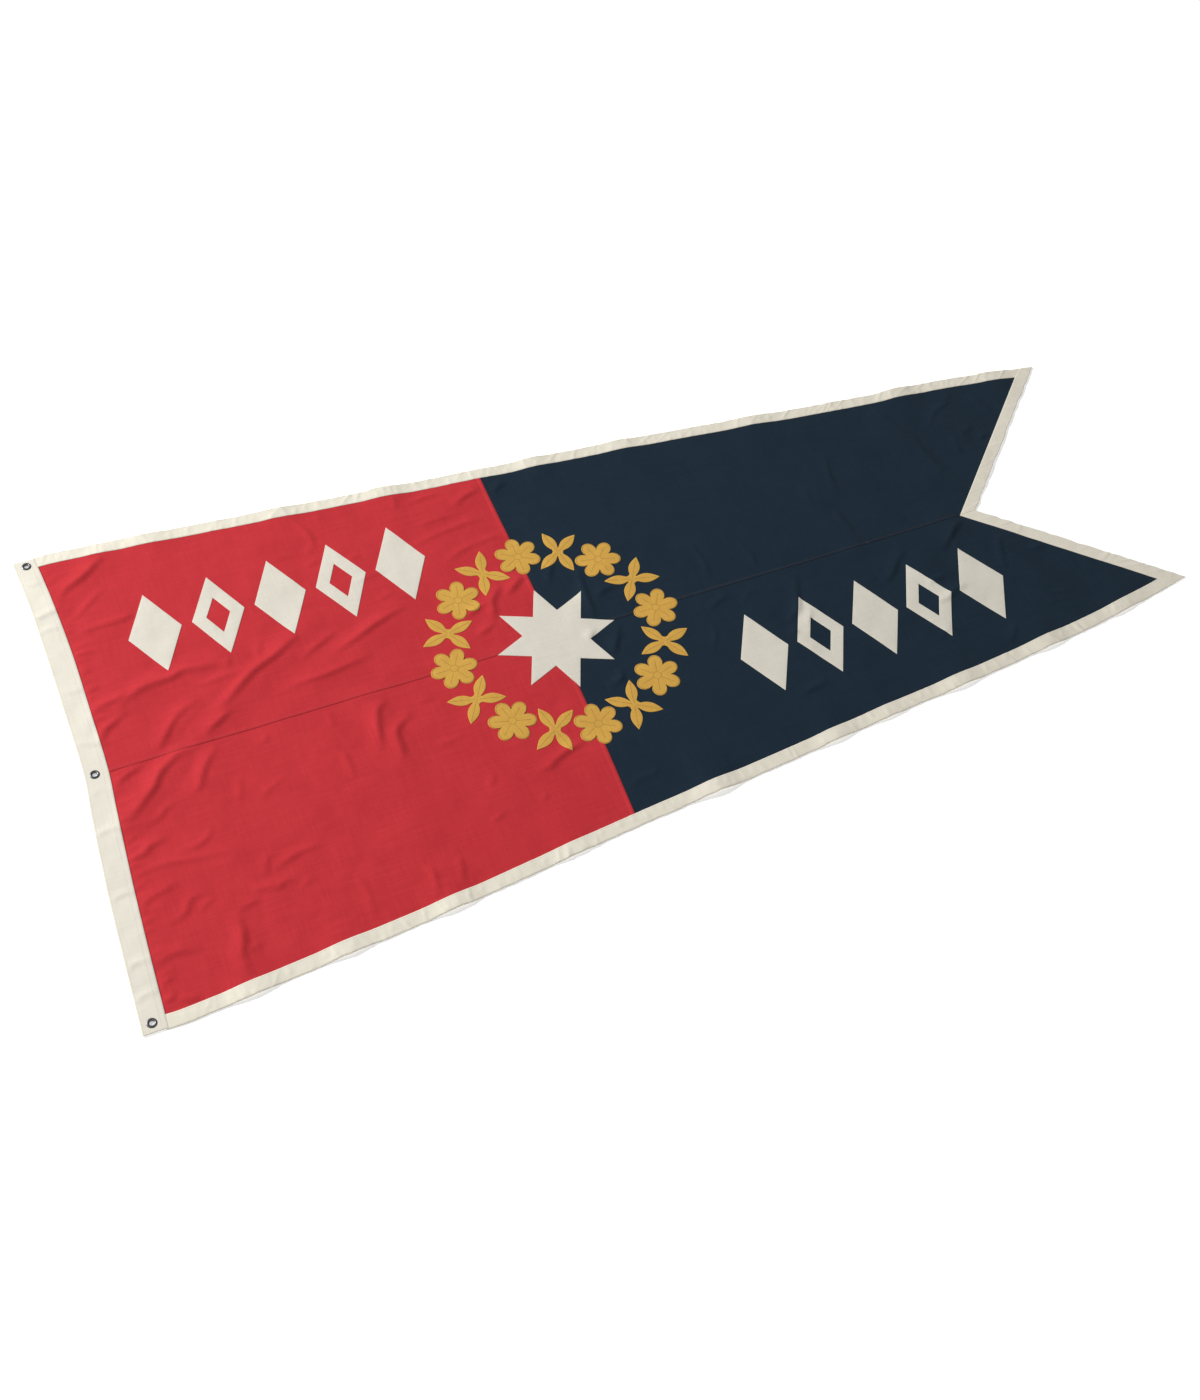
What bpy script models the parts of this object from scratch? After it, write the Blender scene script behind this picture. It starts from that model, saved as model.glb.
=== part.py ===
# A sewn swallow-tailed pennant flag, lying almost flat on a floor.
# +X runs from the hoist to the tails, +Y up the hoist and +Z up, with the origin under the flag's middle.
# Every piece is cut out of one folded surface, so a piece sewn on another follows it all over.
import math
from types import SimpleNamespace

import bmesh
import bpy
from mathutils import Vector
from mathutils.geometry import delaunay_2d_cdt

# Sizes of the flag, measured along the cloth from the line of its hoist corners and from the hoist's middle
HOIST = 0.915
LENGTH = 1.951
TOP_BAND = 0.0220
BOTTOM_BAND = 0.0235
GAP = 0.0003

# Thicknesses of the layers
FIELD_THICKNESS = 0.0010
BAND_THICKNESS = 0.0016
HEADING_THICKNESS = 0.0020
APPLIQUE_THICKNESS = 0.0009

# The eyelets stand on the floor on their back washers, which holds the heading just above it
EYELET_HOLE_RADIUS = 0.0040
EYELET_BARREL_RADIUS = 0.0047
EYELET_RIM_RADIUS = 0.0080
EYELET_WASHER = 0.0008
EYELET_RIM = 0.0012
EYELET_STEPS = 24
HEADING_OVER_FLOOR = EYELET_WASHER + GAP

# Spacing of the lattice that carries the folds, and of the points along the edges
LATTICE = 0.036
EDGE_STEP = 0.036

# Colours, as linear red, green and blue, with roughness
RED = (0.58, 0.035, 0.045)
BLUE = (0.014, 0.030, 0.052)
CREAM = (0.84, 0.79, 0.66)
GOLD = (0.75, 0.44, 0.07)
NICKEL = (0.42, 0.43, 0.45)
CLOTH_ROUGHNESS = 0.85
NICKEL_ROUGHNESS = 0.30

# Corners of the swallow tail
UPPER_TIP = Vector((1.951, 0.2750))
LOWER_TIP = Vector((1.945, -0.2760))
NOTCH = Vector((1.657, -0.0080))
UPPER_FIELD_TIP = Vector((1.9035, 0.2615))
LOWER_FIELD_TIP = Vector((1.8930, -0.2620))
FIELD_NOTCH = Vector((1.6240, -0.0095))

# Hoist: height on the hoist, its outer edge, the heading's inner edge
HOIST_STATIONS = (
    (-0.4585, -0.0035, 0.0350),
    (-0.3200, 0.0000, 0.0390),
    (-0.2000, 0.0040, 0.0440),
    (-0.0800, 0.0110, 0.0510),
    (0.0000, 0.0170, 0.0560),
    (0.1200, 0.0150, 0.0550),
    (0.2400, 0.0120, 0.0530),
    (0.3600, 0.0070, 0.0460),
    (0.4575, -0.0010, 0.0370),
)

# Long edges: distance along, how far the top edge and the bottom edge bow out from the straight line
BOW_STATIONS = (
    (0.000, 0.000, 0.000),
    (0.065, 0.007, 0.009),
    (0.265, 0.009, 0.013),
    (0.515, 0.010, 0.017),
    (0.815, 0.011, 0.014),
    (1.065, 0.014, 0.017),
    (1.315, 0.012, 0.017),
    (1.465, 0.009, 0.019),
    (1.615, 0.008, 0.018),
    (1.740, 0.011, 0.016),
    (1.865, 0.006, 0.008),
    (1.951, 0.000, 0.000),
)

# Seam between the two rows of panels: distance along, height
MIDDLE_SEAM = (
    (0.050, -0.0065),
    (0.400, -0.0075),
    (0.700, -0.0090),
    (1.100, -0.0080),
    (1.400, -0.0100),
    (1.624, -0.0095),
)

# Seam between the red and the blue panels: height, distance along
COLOUR_SEAM = (
    (-0.380, 0.8130),
    (-0.200, 0.8200),
    (0.000, 0.8235),
    (0.100, 0.8250),
    (0.380, 0.8240),
)

# Eyelet: name, distance along, height on the hoist
EYELETS = (
    ("eyelet_top", 0.0205, 0.4435),
    ("eyelet_middle", 0.0335, -0.0035),
    ("eyelet_bottom", 0.0140, -0.4430),
)

# Main folds of the cloth: start along and up, end along and up, half width, height
MAIN_FOLDS = (
    (0.055, 0.350, 0.150, 0.425, 0.040, 0.0040),
    (0.070, 0.110, 0.285, 0.145, 0.044, 0.0050),
    (0.215, 0.015, 0.430, 0.155, 0.046, 0.0060),
    (0.125, 0.015, 0.300, 0.125, 0.040, 0.0045),
    (0.400, 0.040, 0.600, 0.145, 0.044, 0.0040),
    (0.060, -0.110, 0.160, -0.020, 0.042, 0.0045),
    (0.175, -0.090, 0.240, -0.015, 0.042, 0.0035),
    (0.480, -0.020, 0.500, -0.150, 0.044, 0.0050),
    (0.170, -0.310, 0.165, -0.430, 0.042, 0.0040),
    (0.480, -0.300, 0.480, -0.410, 0.046, 0.0030),
    (0.640, 0.300, 0.820, 0.360, 0.050, 0.0035),
    (0.880, 0.020, 0.960, 0.110, 0.044, 0.0030),
    (1.385, 0.130, 1.400, -0.010, 0.044, 0.0045),
    (1.430, 0.260, 1.425, 0.140, 0.050, 0.0030),
    (1.600, 0.250, 1.625, 0.100, 0.046, 0.0050),
    (1.700, 0.220, 1.720, 0.080, 0.050, 0.0035),
    (1.500, -0.090, 1.580, -0.020, 0.044, 0.0040),
    (1.220, -0.170, 1.270, -0.100, 0.044, 0.0030),
    (1.670, -0.080, 1.690, -0.190, 0.044, 0.0040),
)

# Places where the edges lift off the floor: distance along, height, half width
BOTTOM_LIFTS = (
    (0.165, 0.0040, 0.050),
    (0.315, 0.0040, 0.050),
    (0.490, 0.0050, 0.055),
    (0.700, 0.0030, 0.055),
    (0.960, 0.0065, 0.060),
    (1.185, 0.0045, 0.050),
    (1.290, 0.0030, 0.045),
    (1.440, 0.0050, 0.055),
    (1.630, 0.0045, 0.055),
    (1.800, 0.0030, 0.050),
)
TOP_LIFTS = (
    (0.230, 0.0030, 0.055),
    (0.460, 0.0035, 0.055),
    (0.650, 0.0045, 0.055),
    (0.930, 0.0035, 0.050),
    (1.100, 0.0040, 0.055),
    (1.360, 0.0035, 0.060),
    (1.660, 0.0050, 0.055),
    (1.860, 0.0030, 0.050),
)
LIFT_REACH = 0.060

# Rows of lozenges: colour of the panel, middle along, middle up, lean in degrees of each lozenge in the row
LOZENGE_ROWS = (
    ("red", 0.408, 0.2340, (0.6, -0.9, 0.4, 1.1, -0.7)),
    ("blue", 1.366, -0.1600, (-0.5, 0.8, -1.0, 0.6, 1.2)),
)
LOZENGE_PITCH = 0.1085
LOZENGE_HALF_WIDTH = 0.0455
LOZENGE_HALF_HEIGHT = 0.0840
LOZENGE_OPENING = 0.45

# Star and ring where the seams cross
EMBLEM_CENTRE = Vector((0.8235, -0.0085))
STAR_RADIUS = 0.1080
STAR_POINTS = 8
STAR_INNER_SHARE = 0.541
RING_RADIUS = 0.1860
RING_REPEATS = 8
FLOWER_RADIUS = 0.0410
FLOWER_PETALS = 6
FLOWER_STEPS = 48
FLOWER_WAIST_SHARE = 0.58
SPRIG_LEAF_LENGTH = 0.0500
SPRIG_LEAF_HALF_WIDTH = 0.0100
SPRIG_LEAF_SPREAD = math.radians(36.0)
SPRIG_STEM_RADIUS = 0.0090
SPRIG_LEAF_SHARES = (0.22, 0.40, 0.58, 0.74, 0.88)


def clear_objects():
    for item in list(bpy.data.objects):
        bpy.data.objects.remove(item, do_unlink=True)


def make_material(name, colour, roughness, metallic=0.0):
    material = bpy.data.materials.new(name)
    material.use_nodes = True
    surface = material.node_tree.nodes["Principled BSDF"]
    surface.inputs["Base Color"].default_value = (*colour, 1.0)
    surface.inputs["Roughness"].default_value = roughness
    surface.inputs["Metallic"].default_value = metallic
    return material


# A smooth curve through the rows of a table, read in one of its columns
def along_table(table, place, column):
    last = len(table) - 2
    row = 0
    while row < last and table[row + 1][0] < place:
        row += 1
    before = table[max(row - 1, 0)]
    start = table[row]
    end = table[row + 1]
    after = table[min(row + 2, last + 1)]
    run = end[0] - start[0]
    share = min(max((place - start[0]) / run, 0.0), 1.0)
    slope_start = (end[column] - before[column]) / (end[0] - before[0]) * run
    slope_end = (after[column] - start[column]) / (after[0] - start[0]) * run
    rise = share * share * (3.0 - 2.0 * share)
    lead = share * (1.0 - share) ** 2
    trail = -share * share * (1.0 - share)
    return start[column] * (1.0 - rise) + end[column] * rise + slope_start * lead + slope_end * trail


def top_edge(along):
    straight = HOIST / 2 + (UPPER_TIP.y - HOIST / 2) * along / UPPER_TIP.x
    return straight + along_table(BOW_STATIONS, along, 1)


def bottom_edge(along):
    straight = -HOIST / 2 + (LOWER_TIP.y + HOIST / 2) * along / LOWER_TIP.x
    return straight - along_table(BOW_STATIONS, along, 2)


def distance_to_line(point, start, end):
    line = end - start
    share = min(max((point - start).dot(line) / line.length_squared, 0.0), 1.0)
    return (point - start - line * share).length


def swell(distance, half_width):
    if distance >= half_width:
        return 0.0
    return 0.5 + 0.5 * math.cos(math.pi * distance / half_width)


def fold_lines():
    lines = []
    for start_x, start_y, end_x, end_y, half_width, height in MAIN_FOLDS:
        lines.append((Vector((start_x, start_y)), Vector((end_x, end_y)), half_width, height))
    for along, height, half_width in BOTTOM_LIFTS:
        edge = Vector((along, bottom_edge(along)))
        lines.append((edge, edge + Vector((0.0, LIFT_REACH)), half_width, height))
    for along, height, half_width in TOP_LIFTS:
        edge = Vector((along, top_edge(along)))
        lines.append((edge, edge - Vector((0.0, LIFT_REACH)), half_width, height))
    return lines


# Height of the cloth's underside over the floor. It is level for a little way round each eyelet.
def fold_height(point, lines):
    height = 0.0
    for start, end, half_width, crest in lines:
        height = max(height, crest * swell(distance_to_line(point, start, end), half_width))
    for _, along, up in EYELETS:
        distance = (point - Vector((along, up))).length
        level = swell(max(distance - 2.0 * LATTICE, 0.0), 2.0 * LATTICE)
        height = height * (1.0 - level) + HEADING_OVER_FLOOR * level
    return height


class FoldedSurface:
    """A lattice of flat triangles over the whole flag, with one height at each of its points."""

    def __init__(self):
        self.low = Vector((-0.5 * LATTICE, -HOIST / 2 - LATTICE))
        self.columns = math.ceil((LENGTH + 2 * LATTICE) / LATTICE)
        self.rows = math.ceil((HOIST + 3 * LATTICE) / LATTICE)
        lines = fold_lines()
        self.heights = {}
        for column in range(self.columns + 1):
            for row in range(self.rows + 1):
                self.heights[column, row] = fold_height(self.place(column, row), lines)

    def place(self, column, row):
        return self.low + Vector((column, row)) * LATTICE

    def height(self, point):
        cell = (point - self.low) / LATTICE
        column = min(int(cell.x), self.columns - 1)
        row = min(int(cell.y), self.rows - 1)
        share_x = cell.x - column
        share_y = cell.y - row
        corner = self.heights[column, row]
        far = self.heights[column + 1, row + 1]
        if share_x >= share_y:
            side = self.heights[column + 1, row]
            return corner + (side - corner) * share_x + (far - side) * share_y
        side = self.heights[column, row + 1]
        return corner + (side - corner) * share_y + (far - side) * share_x

    def lattice_lines(self, outline):
        """The lattice's own lines near an outline, as points and pairs of their numbers."""
        left = int((min(p.x for p in outline) - self.low.x) / LATTICE)
        right = int((max(p.x for p in outline) - self.low.x) / LATTICE) + 1
        base = int((min(p.y for p in outline) - self.low.y) / LATTICE)
        crown = int((max(p.y for p in outline) - self.low.y) / LATTICE) + 1
        number = {}
        points = []
        for column in range(left, right + 1):
            for row in range(base, crown + 1):
                number[column, row] = len(points)
                points.append(self.place(column, row))
        pairs = []
        for column, row in number:
            for step in ((1, 0), (0, 1), (1, 1)):
                other = (column + step[0], row + step[1])
                if other in number:
                    pairs.append((number[column, row], number[other]))
        return points, pairs


def inset(outline, distance):
    """The outline, drawn in by a distance on every side. The outline runs anticlockwise."""
    count = len(outline)
    result = []
    for index, point in enumerate(outline):
        ahead = (outline[(index + 1) % count] - point).normalized()
        behind = (point - outline[index - 1]).normalized()
        normal = Vector((-ahead.y - behind.y, ahead.x + behind.x))
        normal.normalize()
        across = normal.dot(Vector((-ahead.y, ahead.x)))
        result.append(point + normal * (distance / across))
    return result


def loop_pairs(start, count):
    return [(start + index, start + (index + 1) % count) for index in range(count)]


def cut_sheet(name, surface, outline, lift, thickness, material, holes=()):
    """One cloth piece: the folded surface inside an outline, given its thickness."""
    outline = inset(outline, GAP / 2)
    points, pairs = surface.lattice_lines(outline)
    rings = [outline, *holes]
    faces = []
    for ring in rings:
        start = len(points)
        faces.append(list(range(start, start + len(ring))))
        pairs += loop_pairs(start, len(ring))
        points += ring
    flat_points, _, triangles, _, _, owners = delaunay_2d_cdt(points, pairs, faces, 0, 1e-6)
    kept = []
    for triangle, owner in zip(triangles, owners):
        if 0 in owner and len(owner) == 1:
            kept.append(triangle)
    shape = bmesh.new()
    lower = {}
    upper = {}
    for index in sorted({index for triangle in kept for index in triangle}):
        point = flat_points[index]
        base = surface.height(point) + lift
        lower[index] = shape.verts.new((point.x, point.y, base))
        upper[index] = shape.verts.new((point.x, point.y, base + thickness))
    edge_sides = set()
    for a, b, c in kept:
        shape.faces.new((upper[a], upper[b], upper[c]))
        shape.faces.new((lower[c], lower[b], lower[a]))
        edge_sides.update(((a, b), (b, c), (c, a)))
    for a, b in edge_sides:
        if (b, a) not in edge_sides:
            shape.faces.new((lower[a], lower[b], upper[b], upper[a]))
    return finish_object(name, shape, material)


def finish_object(name, shape, material):
    mesh = bpy.data.meshes.new(name)
    bmesh.ops.recalc_face_normals(shape, faces=shape.faces)
    shape.to_mesh(mesh)
    shape.free()
    mesh.materials.append(material)
    item = bpy.data.objects.new(name, mesh)
    bpy.context.scene.collection.objects.link(item)
    return item


def spaced(start, end, step=EDGE_STEP):
    count = max(1, round(abs(end - start) / step))
    return [start + (end - start) * index / count for index in range(count + 1)]


def straight_run(start, end):
    count = max(1, round((end - start).length / EDGE_STEP))
    return [start.lerp(end, index / count) for index in range(count + 1)]


# Where the seams between pieces run. Each run is shared by the two pieces that meet on it.
def heading_inner(low, high):
    return [Vector((along_table(HOIST_STATIONS, up, 2), up)) for up in spaced(low, high)]


def middle_seam(start, end):
    return [Vector((along, along_table(MIDDLE_SEAM, along, 1))) for along in spaced(start, end)]


def colour_seam(low, high):
    return [Vector((along_table(COLOUR_SEAM, up, 1), up)) for up in spaced(low, high)]


def field_top(start, end):
    return [Vector((along, top_edge(along) - TOP_BAND)) for along in spaced(start, end)]


def field_bottom(start, end):
    return [Vector((along, bottom_edge(along) + BOTTOM_BAND)) for along in spaced(start, end)]


def joined(*runs):
    """One closed outline from runs that follow each other, without its repeated points."""
    outline = []
    for run in runs:
        for point in run:
            if not outline or (point - outline[-1]).length > GAP:
                outline.append(point)
    if (outline[0] - outline[-1]).length <= GAP:
        outline.pop()
    return outline


def seam_runs():
    """Every seam and edge of the flag as a run of points, each shared by the two pieces that meet on it."""
    run = SimpleNamespace()
    seam_x = along_table(COLOUR_SEAM, 0.0, 1)
    heading_x = along_table(HOIST_STATIONS, 0.0, 2)
    heading_top_x = along_table(HOIST_STATIONS, HOIST / 2 - TOP_BAND, 2)
    heading_bottom_x = along_table(HOIST_STATIONS, BOTTOM_BAND - HOIST / 2, 2)
    crossing_y = along_table(MIDDLE_SEAM, seam_x, 1)
    seam_start_y = along_table(MIDDLE_SEAM, heading_x, 1)
    seam_top_x = along_table(COLOUR_SEAM, top_edge(seam_x) - TOP_BAND, 1)
    seam_bottom_x = along_table(COLOUR_SEAM, bottom_edge(seam_x) + BOTTOM_BAND, 1)
    run.top_red = field_top(heading_top_x, seam_top_x)
    run.top_blue = field_top(seam_top_x, UPPER_FIELD_TIP.x)
    run.top_blue[-1] = UPPER_FIELD_TIP
    run.bottom_red = field_bottom(heading_bottom_x, seam_bottom_x)
    run.bottom_blue = field_bottom(seam_bottom_x, LOWER_FIELD_TIP.x)
    run.bottom_blue[-1] = LOWER_FIELD_TIP
    run.middle_red = middle_seam(heading_x, seam_x)
    run.middle_blue = middle_seam(seam_x, FIELD_NOTCH.x)
    run.colour_upper = colour_seam(crossing_y, run.top_red[-1].y)
    run.colour_lower = colour_seam(run.bottom_red[-1].y, crossing_y)
    run.heading_upper = heading_inner(seam_start_y, run.top_red[0].y)
    run.heading_lower = heading_inner(run.bottom_red[0].y, seam_start_y)
    run.tail_upper = straight_run(FIELD_NOTCH, UPPER_FIELD_TIP)
    run.tail_lower = straight_run(LOWER_FIELD_TIP, FIELD_NOTCH)
    # The heading's own ends, and the places where the tail bands cover the ends of the long bands
    low, high = HOIST_STATIONS[0], HOIST_STATIONS[-1]
    run.hoist = [Vector((along_table(HOIST_STATIONS, up, 1), up)) for up in spaced(low[0], high[0])]
    run.heading_top_end = Vector((high[2], high[0]))
    run.heading_bottom_end = Vector((low[2], low[0]))
    run.upper_cover = covered_end(UPPER_FIELD_TIP, TOP_BAND, top_edge)
    run.lower_cover = covered_end(LOWER_FIELD_TIP, BOTTOM_BAND, bottom_edge)
    return run


def covered_end(field_tip, band, edge):
    """Where the inner edge of a tail band, run on past the field's tip, reaches the flag's long edge."""
    slope = (field_tip - FIELD_NOTCH).normalized()
    along = field_tip.x + slope.x * band / abs(slope.y)
    return Vector((along, edge(along)))


def build_field(surface, run, red, blue):
    outlines = (
        ("field_red_upper", (run.middle_red, run.colour_upper, run.top_red[::-1], run.heading_upper[::-1]), red),
        ("field_red_lower", (run.bottom_red, run.colour_lower, run.middle_red[::-1], run.heading_lower[::-1]), red),
        ("field_blue_upper", (run.middle_blue, run.tail_upper, run.top_blue[::-1], run.colour_upper[::-1]), blue),
        ("field_blue_lower", (run.bottom_blue, run.tail_lower, run.middle_blue[::-1], run.colour_lower[::-1]), blue),
    )
    for name, runs, material in outlines:
        cut_sheet(name, surface, joined(*runs), 0.0, FIELD_THICKNESS, material)


def eyelet_hole(along, up):
    radius = EYELET_BARREL_RADIUS + GAP
    turns = [2.0 * math.pi * step / EYELET_STEPS for step in range(EYELET_STEPS)]
    return [Vector((along + radius * math.cos(turn), up + radius * math.sin(turn))) for turn in turns]


def build_heading(surface, run, cream):
    inner = [run.heading_bottom_end, *run.heading_lower, *run.heading_upper, run.heading_top_end]
    holes = [eyelet_hole(along, up) for _, along, up in EYELETS]
    cut_sheet("heading", surface, joined(inner, run.hoist[::-1]), 0.0, HEADING_THICKNESS, cream, holes)


def build_bands(surface, run, cream):
    top_outer = [Vector((x, top_edge(x))) for x in spaced(run.heading_top_end.x, run.upper_cover.x)]
    top_outer[0] = run.heading_top_end
    bottom_outer = [Vector((x, bottom_edge(x))) for x in spaced(run.heading_bottom_end.x, run.lower_cover.x)]
    bottom_outer[0] = run.heading_bottom_end
    upper_outer = [*straight_run(NOTCH, UPPER_TIP), run.upper_cover]
    lower_outer = [run.lower_cover, *straight_run(LOWER_TIP, NOTCH)]
    outlines = (
        ("edge_band_top", (run.top_red, run.top_blue, top_outer[::-1])),
        ("edge_band_bottom", (bottom_outer, run.bottom_blue[::-1], run.bottom_red[::-1])),
        ("tail_band_upper", ([FIELD_NOTCH], upper_outer, run.tail_upper[::-1])),
        ("tail_band_lower", (lower_outer, run.tail_lower[::-1])),
    )
    for name, runs in outlines:
        cut_sheet(name, surface, joined(*runs), 0.0, BAND_THICKNESS, cream)


def turned(outline, turn, centre):
    result = []
    for point in outline:
        x = centre.x + point.x * math.cos(turn) - point.y * math.sin(turn)
        y = centre.y + point.x * math.sin(turn) + point.y * math.cos(turn)
        result.append(Vector((x, y)))
    return result


def lozenge_outline(share=1.0):
    half_width = LOZENGE_HALF_WIDTH * share
    half_height = LOZENGE_HALF_HEIGHT * share
    return [
        Vector((half_width, 0.0)),
        Vector((0.0, half_height)),
        Vector((-half_width, 0.0)),
        Vector((0.0, -half_height)),
    ]


def star_outline():
    outline = []
    for step in range(2 * STAR_POINTS):
        turn = math.pi * step / STAR_POINTS
        radius = STAR_RADIUS if step % 2 == 0 else STAR_RADIUS * STAR_INNER_SHARE
        outline.append(Vector((radius * math.cos(turn), radius * math.sin(turn))))
    return outline


def flower_outline():
    outline = []
    for step in range(FLOWER_STEPS):
        turn = 2.0 * math.pi * step / FLOWER_STEPS
        swing = abs(math.cos(FLOWER_PETALS * turn / 2.0)) ** 0.7
        radius = FLOWER_RADIUS * (FLOWER_WAIST_SHARE + (1.0 - FLOWER_WAIST_SHARE) * swing)
        outline.append(Vector((radius * math.cos(turn), radius * math.sin(turn))))
    return outline


def sprig_outline():
    """Four pointed leaves on a short stem, two outwards and two inwards."""
    turns = (SPRIG_LEAF_SPREAD, math.pi - SPRIG_LEAF_SPREAD, math.pi + SPRIG_LEAF_SPREAD, -SPRIG_LEAF_SPREAD)
    outline = []
    for index, turn in enumerate(turns):
        right_side = []
        for share in SPRIG_LEAF_SHARES:
            half_width = SPRIG_LEAF_HALF_WIDTH * math.sin(math.pi * share)
            right_side.append(Vector((SPRIG_LEAF_LENGTH * share, -half_width)))
        tip = Vector((SPRIG_LEAF_LENGTH, 0.0))
        left_side = [Vector((point.x, -point.y)) for point in right_side[::-1]]
        outline += turned([*right_side, tip, *left_side], turn, Vector((0.0, 0.0)))
        valley = math.pi / 2.0 * (index + 1)
        outline.append(Vector((math.cos(valley), math.sin(valley))) * SPRIG_STEM_RADIUS)
    return outline


def build_appliques(surface, cream, gold):
    lift = FIELD_THICKNESS + GAP
    for panel, middle_x, middle_y, leans in LOZENGE_ROWS:
        for index, lean in enumerate(leans):
            place = Vector((middle_x + LOZENGE_PITCH * (index - 2), middle_y))
            outline = turned(lozenge_outline(), math.radians(lean), place)
            holes = []
            if index % 2 == 1:
                holes.append(turned(lozenge_outline(LOZENGE_OPENING), math.radians(lean), place))
            name = f"lozenge_{panel}_{index + 1}"
            cut_sheet(name, surface, outline, lift, APPLIQUE_THICKNESS, cream, holes)
    star = turned(star_outline(), 0.0, EMBLEM_CENTRE)
    cut_sheet("centre_star", surface, star, lift, APPLIQUE_THICKNESS, cream)
    for index in range(RING_REPEATS):
        turn = 2.0 * math.pi * index / RING_REPEATS
        place = EMBLEM_CENTRE + Vector((math.cos(turn), math.sin(turn))) * RING_RADIUS
        flower = turned(flower_outline(), turn, place)
        cut_sheet(f"ring_flower_{index + 1}", surface, flower, lift, APPLIQUE_THICKNESS, gold)
        turn += math.pi / RING_REPEATS
        place = EMBLEM_CENTRE + Vector((math.cos(turn), math.sin(turn))) * RING_RADIUS
        sprig = turned(sprig_outline(), turn, place)
        cut_sheet(f"ring_sprig_{index + 1}", surface, sprig, lift, APPLIQUE_THICKNESS, gold)


def build_eyelet(name, along, up, metal):
    """A rolled rim, its barrel through the heading and a back washer, turned about the hole."""
    seat = HEADING_OVER_FLOOR + HEADING_THICKNESS + GAP
    crest = seat + EYELET_RIM
    hole = EYELET_HOLE_RADIUS
    rim = EYELET_RIM_RADIUS
    profile = (
        (hole, 0.0003),
        (hole + 0.0003, 0.0),
        (rim - 0.0004, 0.0),
        (rim - 0.0001, EYELET_WASHER),
        (EYELET_BARREL_RADIUS, EYELET_WASHER),
        (EYELET_BARREL_RADIUS, seat),
        (rim, seat),
        (rim - 0.0003, crest - 0.0004),
        (rim - 0.0010, crest),
        (hole + 0.0010, crest),
        (hole + 0.0003, crest - 0.0003),
        (hole, crest - 0.0008),
    )
    shape = bmesh.new()
    rings = []
    for step in range(EYELET_STEPS):
        turn = 2.0 * math.pi * step / EYELET_STEPS
        ring = [shape.verts.new((r * math.cos(turn) + along, r * math.sin(turn) + up, z)) for r, z in profile]
        rings.append(ring)
    count = len(profile)
    for step in range(EYELET_STEPS):
        ring = rings[step]
        following = rings[(step + 1) % EYELET_STEPS]
        for index in range(count):
            after = (index + 1) % count
            shape.faces.new((ring[index], following[index], following[after], ring[after]))
    item = finish_object(name, shape, metal)
    item.data.shade_smooth()
    item.data.set_sharp_from_angle(angle=math.radians(30.0))
    return item


def centre_on_origin():
    """Moves every mesh so that the origin lies under the middle of the flag's box."""
    points = [vertex.co for item in bpy.data.objects for vertex in item.data.vertices]
    middle_x = (min(p.x for p in points) + max(p.x for p in points)) / 2.0
    middle_y = (min(p.y for p in points) + max(p.y for p in points)) / 2.0
    for item in bpy.data.objects:
        for vertex in item.data.vertices:
            vertex.co.x -= middle_x
            vertex.co.y -= middle_y


clear_objects()
folded = FoldedSurface()
red_cloth = make_material("red_bunting", RED, CLOTH_ROUGHNESS)
blue_cloth = make_material("blue_bunting", BLUE, CLOTH_ROUGHNESS)
cream_cloth = make_material("cream_cotton", CREAM, CLOTH_ROUGHNESS)
gold_cloth = make_material("gold_cotton", GOLD, CLOTH_ROUGHNESS)
nickel = make_material("dark_nickel", NICKEL, NICKEL_ROUGHNESS, 1.0)
runs = seam_runs()
build_field(folded, runs, red_cloth, blue_cloth)
build_heading(folded, runs, cream_cloth)
build_bands(folded, runs, cream_cloth)
build_appliques(folded, cream_cloth, gold_cloth)
for eyelet_name, eyelet_along, eyelet_up in EYELETS:
    build_eyelet(eyelet_name, eyelet_along, eyelet_up, nickel)
centre_on_origin()
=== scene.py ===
import math

import bpy
import numpy as np
from mathutils import Matrix, Vector


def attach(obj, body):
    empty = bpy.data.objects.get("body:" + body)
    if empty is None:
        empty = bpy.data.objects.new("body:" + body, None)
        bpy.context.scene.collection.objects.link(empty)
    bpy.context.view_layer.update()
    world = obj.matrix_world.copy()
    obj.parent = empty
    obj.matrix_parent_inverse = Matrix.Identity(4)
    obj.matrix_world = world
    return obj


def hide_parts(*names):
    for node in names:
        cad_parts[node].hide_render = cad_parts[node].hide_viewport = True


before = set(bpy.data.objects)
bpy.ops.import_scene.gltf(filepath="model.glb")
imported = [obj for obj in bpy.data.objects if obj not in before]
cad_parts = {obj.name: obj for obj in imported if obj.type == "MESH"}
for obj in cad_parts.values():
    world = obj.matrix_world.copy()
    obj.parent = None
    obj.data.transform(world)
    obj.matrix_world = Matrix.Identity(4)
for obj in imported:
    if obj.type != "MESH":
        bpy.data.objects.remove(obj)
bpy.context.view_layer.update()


# Camera
# The flag is seen from above the foot of its hoist, with the camera turned a little, so that it lies
# aslant across the picture with its hoist at the left and its tails at the upper right.
eye = Vector((-0.82809, -1.45726, 2.27051))
looked_at = Vector((-0.12893, -0.15014, 0.0))
roll = math.radians(6.546)
ahead = (looked_at - eye).normalized()
level = ahead.cross(Vector((0.0, 0.0, 1.0))).normalized()
upward = level.cross(ahead)
camera_right = level * math.cos(roll) + upward * math.sin(roll)
camera_up = upward * math.cos(roll) - level * math.sin(roll)
camera_data = bpy.data.cameras.new("camera")
camera_data.lens = 41.569
camera_data.sensor_width = 36.0
camera = bpy.data.objects.new("camera", camera_data)
turn = Matrix((camera_right, camera_up, -ahead)).transposed().to_4x4()
camera.matrix_world = Matrix.Translation(eye) @ turn
bpy.context.scene.collection.objects.link(camera)
bpy.context.scene.camera = camera


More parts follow.
